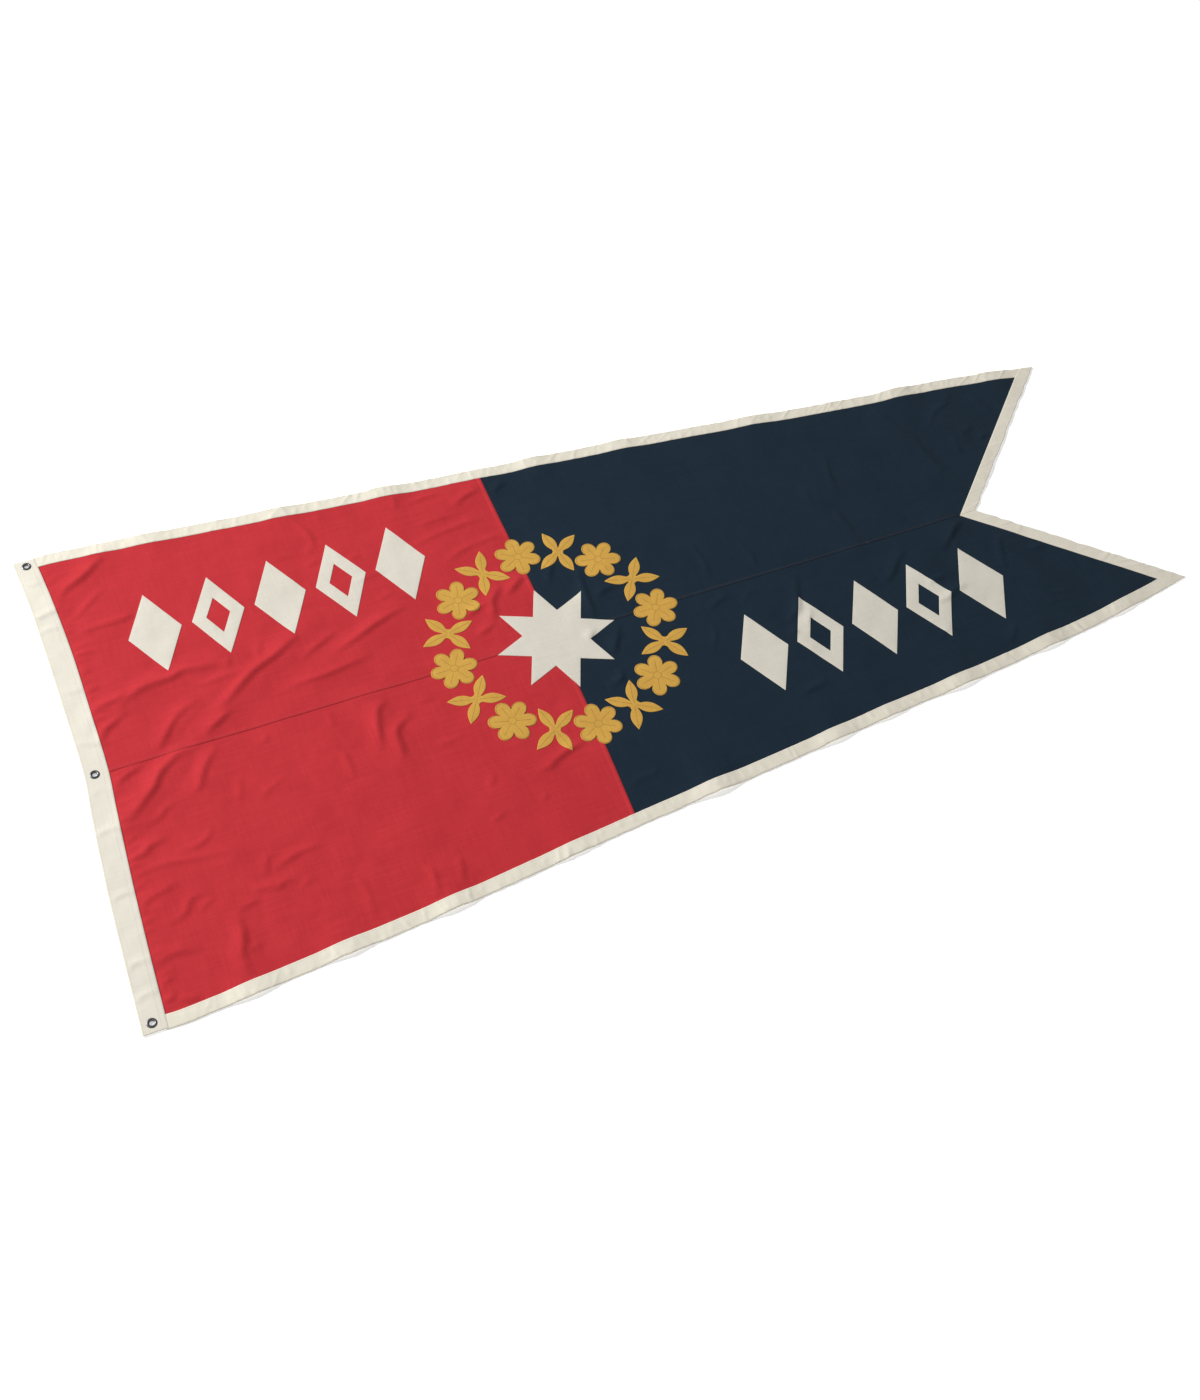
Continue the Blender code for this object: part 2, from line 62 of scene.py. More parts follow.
# Light
# One large soft lamp stands high behind the hoist end, so that the tails come out darker, and the
# white room round the flag fills in the rest.
lamp_data = bpy.data.lights.new("soft_lamp", "AREA")
lamp_data.shape = "DISK"
lamp_data.size = 1.2
lamp_data.energy = 560.0
lamp = bpy.data.objects.new("soft_lamp", lamp_data)
lamp.location = (-5.0, 3.5, 4.0)
lamp.rotation_euler = (Vector((-0.25, 0.0, 0.0)) - lamp.location).to_track_quat("-Z", "Y").to_euler()
bpy.context.scene.collection.objects.link(lamp)
world = bpy.data.worlds.new("white_room")
world.use_nodes = True
world.node_tree.nodes["Background"].inputs["Color"].default_value = (1.0, 1.0, 1.0, 1.0)
world.node_tree.nodes["Background"].inputs["Strength"].default_value = 0.28
bpy.context.scene.world = world
bpy.context.scene.view_settings.view_transform = "Standard"


class Shade:
    """A socket of a material's nodes. Arithmetic on it adds Math nodes."""

    def __init__(self, tree, socket=None):
        self.tree = tree
        self.socket = socket

    def node(self, kind, settings, inputs, output=0):
        """Any node: its settings go first, then a value or a link for each socket."""
        made = self.tree.nodes.new("ShaderNode" + kind)
        for name, value in settings.items():
            setattr(made, name, value)
        for name, value in inputs.items():
            if isinstance(value, Shade):
                self.tree.links.new(value.socket, made.inputs[name])
            else:
                made.inputs[name].default_value = value
        return Shade(self.tree, made.outputs[output])

    def math(self, operation, *values):
        return self.node("Math", {"operation": operation}, dict(enumerate(values)))

    def __add__(self, other):
        return self.math("ADD", self, other)

    def __radd__(self, other):
        return self.math("ADD", other, self)

    def __sub__(self, other):
        return self.math("SUBTRACT", self, other)

    def __rsub__(self, other):
        return self.math("SUBTRACT", other, self)

    def __mul__(self, other):
        return self.math("MULTIPLY", self, other)

    def __rmul__(self, other):
        return self.math("MULTIPLY", other, self)

    def __gt__(self, other):
        return self.math("GREATER_THAN", self, other)

    def __abs__(self):
        return self.math("ABSOLUTE", self)

    def feed(self, surface, name):
        self.tree.links.new(self.socket, surface.inputs[name])


def blank_material(name):
    material = bpy.data.materials.new(name)
    material.use_nodes = True
    surface = material.node_tree.nodes["Principled BSDF"]
    return material, surface, Shade(material.node_tree)


# Floor
# A plain white studio floor. It gives off a little light of its own, as a lit white sweep does.
floor_mesh = bpy.data.meshes.new("floor")
floor_reach = 14.0
floor_corners = [(x * floor_reach, y * floor_reach, 0.0) for x, y in ((-1, -1), (1, -1), (1, 1), (-1, 1))]
floor_mesh.from_pydata(floor_corners, [], [(0, 1, 2, 3)])
floor = bpy.data.objects.new("floor", floor_mesh)
bpy.context.scene.collection.objects.link(floor)
floor_white, floor_surface, floor_shade = blank_material("floor_white")
place = floor_shade.node("TexCoord", {}, {}, "Object")
cloudy = floor_shade.node("TexNoise", {}, {"Vector": place, "Scale": 1.5, "Detail": 2.0})
brightness = 0.90 + cloudy * 0.01
white = {0: brightness, 1: brightness, 2: brightness}
floor_shade.node("CombineColor", {}, white).feed(floor_surface, "Base Color")
floor_surface.inputs["Roughness"].default_value = 0.9
floor_surface.inputs["Specular IOR Level"].default_value = 0.1
floor_surface.inputs["Emission Color"].default_value = (1.0, 1.0, 1.0, 1.0)
floor_surface.inputs["Emission Strength"].default_value = 0.45
floor_mesh.materials.append(floor_white)


# Lie of the cloth
# The flag was smoothed out on the floor by hand. Soft folds are left from where it was folded up, its
# edges lift off the floor in places, and the sewing draws the cloth up in small puckers.
# Places on the flag are given along it, from the hoist, and up it, from the middle of the hoist.
flag_middle = np.array((0.9736674, -0.0011202))
hoist = 0.915
upper_tip = (1.951, 0.2750)
lower_tip = (1.945, -0.2760)
hoist_stations = np.array((
    (-0.4585, -0.0035, 0.0350),
    (-0.3200, 0.0000, 0.0390),
    (-0.2000, 0.0040, 0.0440),
    (-0.0800, 0.0110, 0.0510),
    (0.0000, 0.0170, 0.0560),
    (0.1200, 0.0150, 0.0550),
    (0.2400, 0.0120, 0.0530),
    (0.3600, 0.0070, 0.0460),
    (0.4575, -0.0010, 0.0370),
))
bow_stations = np.array((
    (0.000, 0.000, 0.000),
    (0.065, 0.007, 0.009),
    (0.265, 0.009, 0.013),
    (0.515, 0.010, 0.017),
    (0.815, 0.011, 0.014),
    (1.065, 0.014, 0.017),
    (1.315, 0.012, 0.017),
    (1.465, 0.009, 0.019),
    (1.615, 0.008, 0.018),
    (1.740, 0.011, 0.016),
    (1.865, 0.006, 0.008),
    (1.951, 0.000, 0.000),
))
eyelets = {"top": (0.0205, 0.4435), "middle": (0.0335, -0.0035), "bottom": (0.0140, -0.4430)}
eyelet_level = 0.0011


def curve(stations, place, column):
    """A smooth curve through the rows of a table, read in one of its columns."""
    place = np.asarray(place, dtype=float)
    row = np.clip(np.searchsorted(stations[:, 0], place) - 1, 0, len(stations) - 2)
    before = stations[np.maximum(row - 1, 0)]
    start = stations[row]
    end = stations[row + 1]
    after = stations[np.minimum(row + 2, len(stations) - 1)]
    run = end[..., 0] - start[..., 0]
    share = np.clip((place - start[..., 0]) / run, 0.0, 1.0)
    slope_start = (end[..., column] - before[..., column]) / (end[..., 0] - before[..., 0]) * run
    slope_end = (after[..., column] - start[..., column]) / (after[..., 0] - start[..., 0]) * run
    rise = share * share * (3.0 - 2.0 * share)
    lead = share * (1.0 - share) ** 2
    trail = -share * share * (1.0 - share)
    straight = start[..., column] * (1.0 - rise) + end[..., column] * rise
    return straight + slope_start * lead + slope_end * trail


def top_edge(along):
    straight = hoist / 2 + (upper_tip[1] - hoist / 2) * along / upper_tip[0]
    return straight + curve(bow_stations, along, 1)


def bottom_edge(along):
    straight = -hoist / 2 + (lower_tip[1] + hoist / 2) * along / lower_tip[0]
    return straight - curve(bow_stations, along, 2)


# Broad swells under the folds: start along and up, end along and up, half width, height
broad_swells = (
    (0.055, 0.350, 0.150, 0.425, 0.040, 0.0014),
    (0.070, 0.110, 0.285, 0.145, 0.044, 0.0018),
    (0.215, 0.015, 0.430, 0.155, 0.046, 0.0022),
    (0.125, 0.015, 0.300, 0.125, 0.040, 0.0014),
    (0.400, 0.040, 0.600, 0.145, 0.044, 0.0014),
    (0.060, -0.110, 0.160, -0.020, 0.042, 0.0018),
    (0.175, -0.090, 0.240, -0.015, 0.042, 0.0012),
    (0.480, -0.020, 0.500, -0.150, 0.044, 0.0020),
    (0.170, -0.310, 0.165, -0.430, 0.042, 0.0014),
    (0.480, -0.300, 0.480, -0.410, 0.046, 0.0012),
    (0.640, 0.300, 0.820, 0.360, 0.050, 0.0014),
    (0.880, 0.020, 0.960, 0.110, 0.044, 0.0012),
    (1.385, 0.130, 1.400, -0.010, 0.044, 0.0018),
    (1.430, 0.260, 1.425, 0.140, 0.050, 0.0012),
    (1.600, 0.250, 1.625, 0.100, 0.046, 0.0018),
    (1.700, 0.220, 1.720, 0.080, 0.050, 0.0014),
    (1.500, -0.090, 1.580, -0.020, 0.044, 0.0016),
    (1.220, -0.170, 1.270, -0.100, 0.044, 0.0012),
    (1.670, -0.080, 1.690, -0.190, 0.044, 0.0014),
)
# Lifts of the bottom edge and of the top edge: distance along, height, half width
lift_reach = 0.060
edge_lifts = {
    bottom_edge: (
        (0.165, 0.0040, 0.050),
        (0.315, 0.0040, 0.050),
        (0.490, 0.0050, 0.055),
        (0.700, 0.0030, 0.055),
        (0.960, 0.0065, 0.060),
        (1.185, 0.0045, 0.050),
        (1.290, 0.0030, 0.045),
        (1.440, 0.0050, 0.055),
        (1.630, 0.0045, 0.055),
        (1.800, 0.0030, 0.050),
    ),
    top_edge: (
        (0.230, 0.0030, 0.055),
        (0.460, 0.0035, 0.055),
        (0.650, 0.0045, 0.055),
        (0.930, 0.0035, 0.050),
        (1.100, 0.0040, 0.055),
        (1.360, 0.0035, 0.060),
        (1.660, 0.0050, 0.055),
        (1.860, 0.0030, 0.050),
    ),
}

# Creases, each with its strength and the line of its steep side, as points along and up in millimetres.
# A crease rises steeply on the side towards the foot and the tails, and falls away slowly on the other.
crease_lines = (
    # red, above the middle seam
    (3.0, (55, 352), (75, 370), (95, 380), (115, 392), (135, 408), (150, 418)),
    (1.2, (60, 302), (85, 312), (105, 330), (125, 345), (140, 352)),
    (2.0, (72, 274), (100, 275), (150, 276), (168, 286)),
    (0.9, (52, 398), (66, 402), (82, 400)),
    (0.9, (50, 328), (62, 327), (78, 331)),
    (0.9, (54, 228), (75, 228), (97, 231)),
    (0.8, (54, 204), (72, 192)),
    (1.2, (55, 152), (78, 154)),
    (2.0, (56, 113), (75, 116), (103, 121), (120, 128)),
    (3.0, (101, 103), (120, 117), (150, 128), (190, 130), (215, 137), (250, 133), (290, 130)),
    (2.0, (57, 42), (68, 65), (85, 78), (112, 92)),
    (2.0, (138, 4), (150, 15), (165, 35), (190, 60), (228, 76)),
    (2.4, (216, 7), (245, 22), (272, 39)),
    (3.2, (250, 44), (275, 60), (300, 80), (330, 100), (365, 115), (400, 135), (418, 142)),
    (1.4, (284, 118), (291, 130), (293, 146)),
    (1.1, (215, 108), (240, 103), (290, 104), (322, 98)),
    (1.0, (338, 126), (346, 140), (349, 158)),
    (2.0, (345, 44), (400, 48), (440, 50), (480, 57), (525, 63)),
    (1.6, (405, 95), (430, 108), (460, 122), (478, 132)),
    (2.7, (455, 86), (490, 98), (520, 110), (550, 122), (580, 132), (604, 138)),
    (1.2, (478, 392), (490, 370), (498, 345), (496, 320), (480, 303)),
    (0.9, (466, 278), (497, 286)),
    (1.0, (665, 382), (661, 362), (657, 348)),
    (1.5, (676, 351), (710, 357), (745, 356)),
    (2.0, (757, 320), (785, 335), (815, 343)),
    (1.3, (645, 256), (700, 268), (750, 275), (803, 279)),
    (1.2, (698, 203), (740, 222), (780, 228), (822, 233)),
    (0.9, (676, 298), (720, 302), (765, 300)),
    (0.9, (540, 269), (568, 271)),
    (0.8, (538, 219), (592, 223)),
    (0.9, (562, 169), (594, 173)),
    (1.8, (688, 78), (715, 90), (742, 99)),
    (2.6, (738, 55), (746, 78), (750, 98), (764, 115), (777, 132)),
    (2.6, (776, 102), (800, 118), (820, 133)),
    (1.8, (696, 38), (716, 44), (738, 55)),
    # across the heading
    (1.3, (4, 441), (20, 424), (38, 414)),
    (1.0, (2, 408), (22, 398), (42, 402)),
    (1.2, (2, 330), (18, 326), (40, 331), (58, 328)),
    (0.8, (6, 288), (26, 296), (44, 292)),
    (0.8, (12, 168), (34, 160), (54, 158)),
    (1.0, (18, 62), (36, 54), (54, 46)),
    (0.8, (20, -42), (36, -36), (54, -44)),
    (0.9, (8, -118), (30, -112), (50, -118)),
    (0.8, (6, -236), (24, -228), (44, -232)),
    (1.1, (4, -352), (20, -346), (40, -352)),
    (1.0, (0, -408), (18, -400), (34, -404)),
    # red, below the middle seam
    (2.0, (56, -51), (70, -32), (85, -24), (112, -14)),
    (3.2, (54, -116), (75, -100), (100, -78), (120, -60), (132, -42), (150, -28), (170, -17), (205, -15)),
    (2.2, (168, -93), (185, -85), (195, -65), (210, -42), (233, -20)),
    (1.3, (82, -126), (110, -118), (125, -105), (144, -96)),
    (2.4, (48, -176), (75, -170), (85, -162), (114, -156)),
    (1.2, (116, -189), (150, -187), (170, -178), (182, -163)),
    (1.2, (43, -205), (90, -200), (125, -205), (160, -210), (214, -215)),
    (1.4, (47, -267), (60, -250), (90, -243), (108, -236)),
    (1.6, (74, -301), (100, -295), (112, -285), (122, -271), (154, -272)),
    (1.0, (128, -300), (140, -288), (153, -282)),
    (2.0, (206, -289), (230, -295), (250, -300), (260, -295), (284, -297)),
    (1.2, (239, -273), (245, -250), (257, -236)),
    (1.5, (251, -269), (290, -255), (334, -252)),
    (1.3, (178, -316), (200, -312), (215, -312)),
    (0.9, (280, -311), (303, -304)),
    (2.6, (177, -312), (180, -345), (176, -370), (170, -388), (171, -425)),
    (2.0, (43, -355), (70, -351), (85, -352), (109, -361)),
    (1.5, (40, -391), (64, -388)),
    (2.0, (38, -422), (62, -414)),
    (1.4, (56, -421), (72, -430), (92, -433)),
    (0.9, (172, -386), (204, -381)),
    (0.9, (238, -133), (245, -105), (252, -82)),
    (0.8, (266, -142), (290, -125), (314, -116)),
    (1.3, (417, -95), (420, -125), (420, -155)),
    (1.0, (303, -43), (312, -22)),
    (0.9, (417, -18), (420, -48)),
    (0.8, (368, -315), (376, -350), (372, -405)),
    (2.8, (476, -123), (482, -95), (487, -70), (495, -45), (513, -36)),
    (2.5, (504, -154), (508, -125), (509, -100), (520, -85), (548, -70)),
    (1.4, (477, -338), (481, -365), (474, -402)),
    (1.4, (527, -345), (525, -365), (520, -395)),
    (1.1, (592, -309), (618, -304)),
    (1.5, (696, -248), (732, -247)),
    (2.4, (716, -247), (750, -232), (795, -220)),
    (0.9, (616, -248), (632, -226)),
    (0.9, (556, -144), (604, -145)),
    (0.9, (686, -303), (700, -286)),
    (0.8, (556, -54), (584, -57)),
    # blue, above the middle seam
    (1.6, (833, 323), (850, 338), (866, 346)),
    (1.6, (856, 102), (868, 125), (882, 147)),
    (2.2, (905, 3), (908, 40), (912, 88), (921, 122)),
    (2.0, (922, 46), (945, 54), (972, 52)),
    (1.0, (1131, 15), (1134, 60), (1127, 112)),
    (1.0, (1210, 78), (1222, 40), (1217, 8)),
    (0.9, (1379, 155), (1383, 108)),
    (1.7, (1409, 82), (1416, 50), (1421, 20)),
    (1.4, (1455, 210), (1441, 155), (1436, 105)),
    (1.6, (1633, 200), (1638, 160), (1647, 118), (1654, 96)),
    (1.0, (1588, 288), (1605, 262), (1617, 236)),
    (1.3, (1676, 198), (1709, 232), (1738, 243), (1758, 270)),
    (0.9, (1704, 120), (1710, 160)),
    (1.5, (1793, 254), (1808, 232), (1817, 202)),
    (1.6, (1750, 140), (1782, 150)),
    (0.9, (1722, 158), (1765, 180)),
    # blue, below the middle seam
    (1.5, (876, -35), (893, -13)),
    (2.2, (905, -76), (920, -55), (937, -22)),
    (2.0, (868, -138), (897, -128), (905, -103)),
    (1.2, (824, -329), (850, -319), (874, -319), (888, -300)),
    (1.3, (1094, -53), (1121, -37), (1148, -30)),
    (0.9, (1160, -57), (1180, -38), (1200, -36)),
    (1.1, (1070, -128), (1086, -102), (1095, -75)),
    (2.6, (1217, -121), (1236, -110), (1250, -96), (1262, -66), (1282, -20)),
    (1.4, (1211, -145), (1226, -143)),
    (1.0, (1248, -139), (1270, -106)),
    (1.9, (1170, -264), (1197, -260), (1225, -256)),
    (2.1, (1411, -104), (1432, -96), (1450, -81), (1468, -63), (1495, -47)),
    (2.6, (1552, -75), (1579, -55), (1603, -34), (1625, -22)),
    (1.8, (1478, -173), (1509, -172), (1532, -160), (1557, -157)),
    (1.0, (1488, -132), (1535, -124)),
    (1.7, (1642, -148), (1653, -119), (1662, -96), (1676, -75)),
    (1.1, (1582, -84), (1591, -56)),
    (1.4, (1705, -124), (1736, -129)),
    (1.0, (1446, -252), (1487, -223)),
    (1.3, (1564, -296), (1585, -278), (1603, -256)),
    (0.8, (1682, -224), (1730, -232)),
)


def smooth_run(points, parts=5):
    """A smooth run of points, in metres, through a few given in millimetres."""
    points = np.array(points) / 1000.0
    padded = np.vstack((2 * points[0] - points[1], points, 2 * points[-1] - points[-2]))
    run = []
    for before, start, end, after in zip(padded, padded[1:], padded[2:], padded[3:]):
        for share in np.arange(parts) / parts:
            bend = (end - before) * share + (2 * before - 5 * start + 4 * end - after) * share ** 2
            run.append(start + 0.5 * (bend + (3 * start - before - 3 * end + after) * share ** 3))
    return np.vstack((run, points[-1:]))


creases = [(line[0], smooth_run(line[1:])) for line in crease_lines]
towards_lamp = np.array((-0.82, 0.57))

# Puckers where the heading and the bands are sewn on: half width, height, start and end
puckers = []
chance = np.random.default_rng(7)
up = -0.43
while up < 0.43:
    start = float(curve(hoist_stations, up, 2))
    reach = chance.uniform(0.020, 0.058)
    slant = chance.uniform(-0.25, 0.25) * reach
    half_width = chance.uniform(0.0045, 0.0075)
    crest = chance.uniform(0.0008, 0.0018)
    puckers.append((half_width, crest, (start, up), (start + reach, up + slant)))
    up += chance.uniform(0.012, 0.026)
for edge_line, inward in ((top_edge, -1.0), (bottom_edge, 1.0)):
    along = 0.06
    while along < 1.86:
        start = float(edge_line(along)) + inward * chance.uniform(0.000, 0.010)
        reach = inward * chance.uniform(0.020, 0.040)
        slant = chance.uniform(-0.3, 0.3) * reach
        half_width = chance.uniform(0.005, 0.009)
        crest = chance.uniform(0.0004, 0.0011)
        puckers.append((half_width, crest, (along, start), (along + slant, start + reach)))
        along += chance.uniform(0.015, 0.038)


def bell(distance, half_width):
    """A rounded swell, 1 on its line and 0 from its half width on."""
    return 0.5 + 0.5 * np.cos(np.pi * np.minimum(distance / half_width, 1.0))


def from_line(along, up, start, end):
    """Distance from a straight line, and how far along it that is, as a share."""
    run = (end[0] - start[0], end[1] - start[1])
    share = ((along - start[0]) * run[0] + (up - start[1]) * run[1]) / (run[0] ** 2 + run[1] ** 2)
    share = np.clip(share, 0.0, 1.0)
    return np.hypot(along - start[0] - share * run[0], up - start[1] - share * run[1]), share


def drift(along, up, cell, seed):
    """Soft random rise and fall, from -1 to 1, that changes over about one cell."""
    table = np.random.default_rng(seed).uniform(-1.0, 1.0, (97, 89))
    column = np.floor(along / cell).astype(int)
    row = np.floor(up / cell).astype(int)
    part_x = along / cell - column
    part_y = up / cell - row
    ease_x = part_x ** 3 * (part_x * (part_x * 6.0 - 15.0) + 10.0)
    ease_y = part_y ** 3 * (part_y * (part_y * 6.0 - 15.0) + 10.0)
    column, right = column % 97, (column + 1) % 97
    row, above = row % 89, (row + 1) % 89
    low = table[column, row] * (1.0 - ease_x) + table[right, row] * ease_x
    high = table[column, above] * (1.0 - ease_x) + table[right, above] * ease_x
    return low * (1.0 - ease_y) + high * ease_y


def near(along, up, points, reach):
    """Numbers of the places that are near a line through some points."""
    xs = [point[0] for point in points]
    ys = [point[1] for point in points]
    inside = (along > min(xs) - reach) & (along < max(xs) + reach)
    inside &= (up > min(ys) - reach) & (up < max(ys) + reach)
    return np.nonzero(inside)


crease_height = 0.00135


def crease_rise(along, up, strength, run):
    """Rise of a crease: steep on one side of its line, with a long slow fall on the lamp's side."""
    steep = 0.0042 + 0.0008 * strength
    slow = 0.009 + 0.006 * strength
    along_run = run[-1] - run[0]
    side = math.copysign(1.0, -along_run[1] * towards_lamp[0] + along_run[0] * towards_lamp[1])
    nearest = np.full(along.shape, 1.0)
    offset = np.zeros(along.shape)
    place = np.zeros(along.shape)
    for index in range(len(run) - 1):
        start, end = run[index], run[index + 1]
        distance, share = from_line(along, up, start, end)
        across = (end[0] - start[0]) * (up - start[1]) - (end[1] - start[1]) * (along - start[0])
        closer = distance < nearest
        nearest = np.where(closer, distance, nearest)
        offset = np.where(closer, np.copysign(distance, side * across), offset)
        place = np.where(closer, (index + share) / (len(run) - 1), place)
    climb = np.clip((offset + steep) / (2.0 * steep), 0.0, 1.0)
    climb = climb * climb * (3.0 - 2.0 * climb)
    fall = np.clip(1.0 - (offset - steep) / slow, 0.0, 1.0) ** 2
    fade = np.sin(np.pi * place) ** 0.8
    return crease_height * strength * climb * fall * fade


def lie(along, up):
    """Height of the cloth's underside over the floor."""
    height = np.zeros_like(along)
    for start_x, start_y, end_x, end_y, half_width, crest in broad_swells:
        start, end = (start_x, start_y), (end_x, end_y)
        where = near(along, up, (start, end), half_width)
        distance, share = from_line(along[where], up[where], start, end)
        height[where] = np.maximum(height[where], crest * bell(distance, half_width))
    for edge_line, lifts in edge_lifts.items():
        for middle, crest, half_width in lifts:
            edge = float(edge_line(middle))
            start, end = (middle, edge), (middle, edge - math.copysign(lift_reach, edge))
            where = near(along, up, (start, end), half_width)
            distance, share = from_line(along[where], up[where], start, end)
            rise = crest * bell(distance, half_width) * (1.0 - 0.6 * share)
            height[where] = (height[where] ** 3 + rise ** 3) ** (1.0 / 3.0)
    for strength, run in creases:
        where = near(along, up, run, 0.035)
        height[where] += crease_rise(along[where], up[where], strength, run)
    for half_width, crest, start, end in puckers:
        where = near(along, up, (start, end), half_width)
        distance, share = from_line(along[where], up[where], start, end)
        pucker = crest * bell(distance, half_width) * np.minimum(share / 0.2, 1.0)
        height[where] += pucker * (1.0 - share) ** 1.3
    slack = 1.0 / (1.0 + np.exp((along - 0.55) / 0.15))
    height += 0.0005 * (1.0 + drift(along + 0.4 * up, up - 0.3 * along, 0.085, 11))
    height += (0.00025 + 0.0002 * slack) * (1.0 + drift(along, up - 0.45 * along, 0.034, 12))
    height += 0.00012 * (1.0 + drift(along, up - 0.3 * along, 0.014, 13))
    for eyelet_x, eyelet_y in eyelets.values():
        flat = bell(np.maximum(np.hypot(along - eyelet_x, up - eyelet_y) - 0.011, 0.0), 0.045)
        height = height * (1.0 - flat) + eyelet_level * flat
    return height + 0.0002


# Red panels
# Two panels of red wool bunting nearest the hoist, one above the other. The upper one laps over the
# lower one along the middle seam, and both lap over the blue panels in a narrow turned strip.
bunting_thickness = 0.0007
tuck = 0.004
top_band = 0.0220
bottom_band = 0.0235
field_notch = (1.6240, -0.0095)
upper_field_tip = (1.9035, 0.2615)
lower_field_tip = (1.8930, -0.2620)
middle_stations = np.array((
    (0.050, -0.0065),
    (0.400, -0.0075),
    (0.700, -0.0090),
    (1.100, -0.0080),
    (1.400, -0.0100),
    (1.624, -0.0095),
))
colour_stations = np.array((
    (-0.380, 0.8130),
    (-0.200, 0.8200),
    (0.000, 0.8235),
    (0.100, 0.8250),
    (0.380, 0.8240),
))


def steps(length, step, close=()):
    """Shares of a run in even steps, with closer ones beside both of its ends."""
    count = max(2, round(length / step))
    even = np.linspace(0.0, 1.0, count + 1)
    beside = np.array(close) / length
    margin = (beside.max() if len(close) else 0.0) + 0.4 * step / length
    inner = even[(even > margin) & (even < 1.0 - margin)]
    return np.unique(np.concatenate(((0.0, 1.0), beside, 1.0 - beside, inner)))


def spread_on(line, shares):
    """Points on a line of points, at shares of its length."""
    line = np.asarray(line, dtype=float)
    lengths = np.concatenate(((0.0,), np.cumsum(np.hypot(*np.diff(line, axis=0).T))))
    wanted = np.asarray(shares) * lengths[-1]
    return np.column_stack([np.interp(wanted, lengths, line[:, axis]) for axis in (0, 1)])


def patch(low, high, left, right, across, rise):
    """Rows of points that fill the space between four edges. Left and right run from low to high."""
    low, high = spread_on(low, across), spread_on(high, across)
    left, right = spread_on(left, rise), spread_on(right, rise)
    low_corners = ((low[0] + left[0]) / 2, (low[-1] + right[0]) / 2)
    high_corners = ((high[0] + left[-1]) / 2, (high[-1] + right[-1]) / 2)
    s = across[:, None, None]
    t = rise[None, :, None]
    ruled = (1 - t) * low[:, None] + t * high[:, None] + (1 - s) * left[None] + s * right[None]
    flat = (1 - s) * (1 - t) * low_corners[0] + s * (1 - t) * low_corners[1]
    flat = flat + (1 - s) * t * high_corners[0] + s * t * high_corners[1]
    return (ruled - flat).reshape(-1, 2)


def squares(columns, rows, wraps=False):
    """Faces between the points of a patch. A patch that wraps joins its last column to its first."""
    strips = columns if wraps else columns - 1
    column, row = np.meshgrid(np.arange(strips), np.arange(rows - 1), indexing="ij")
    here = (column * rows + row).ravel()
    after = ((column + 1) % columns * rows + row).ravel()
    return np.column_stack((here, after, after + 1, here + 1))


def turned_edge(distance, roll):
    """Share of a layer's thickness beside its turned edge."""
    inside = np.clip(distance / roll, 0.0, 1.0)
    return 0.30 + 0.70 * np.sqrt(1.0 - (1.0 - inside) ** 2)


def edge_distance(across, rise, length, width):
    """Distance of each point of a patch from the nearest of its four edges."""
    from_ends = np.minimum(across, 1.0 - across) * length
    from_sides = np.minimum(rise, 1.0 - rise) * width
    return np.minimum(from_ends[:, None], from_sides[None, :]).ravel()


def plan_area(plan, faces):
    corners = plan[faces]
    after = np.roll(corners, -1, axis=1)
    return 0.5 * float(np.sum(corners[..., 0] * after[..., 1] - corners[..., 1] * after[..., 0]))


def thick_cloth(node, plan, faces, under, over, material, fan=None):
    """A closed thin mesh over a flat layout of faces, between its underside and its top."""
    count = len(plan)
    centred = plan - flag_middle
    vertices = np.vstack((np.column_stack((centred, over)), np.column_stack((centred, under))))
    groups = [faces] if fan is None else [faces, fan]
    if plan_area(plan, faces) < 0.0:
        groups = [group[:, ::-1] for group in groups]
    edges = []
    for group in groups:
        sides = group.shape[1]
        edges += [group[:, [side, (side + 1) % sides]] for side in range(sides)]
    edges = np.concatenate(edges)
    forward = edges[:, 0] * count + edges[:, 1]
    backward = edges[:, 1] * count + edges[:, 0]
    rim = edges[~np.isin(forward, backward)]
    walls = np.column_stack((rim[:, 0] + count, rim[:, 1] + count, rim[:, 1], rim[:, 0]))
    every = walls.tolist()
    for group in groups:
        every += group.tolist() + (group[:, ::-1] + count).tolist()
    used = np.unique(np.concatenate([np.ravel(group) for group in groups]))
    used = np.concatenate((used, used + count))
    number = np.full(2 * count, -1)
    number[used] = np.arange(len(used))
    name = node + "_cloth"
    mesh = bpy.data.meshes.new(name)
    faces_used = [[int(number[corner]) for corner in face] for face in every]
    mesh.from_pydata(vertices[used].tolist(), [], faces_used)
    mesh.shade_smooth()
    mesh.set_sharp_from_angle(angle=math.radians(75.0))
    mesh.materials.append(material)
    piece = bpy.data.objects.new(name, mesh)
    bpy.context.scene.collection.objects.link(piece)
    return piece


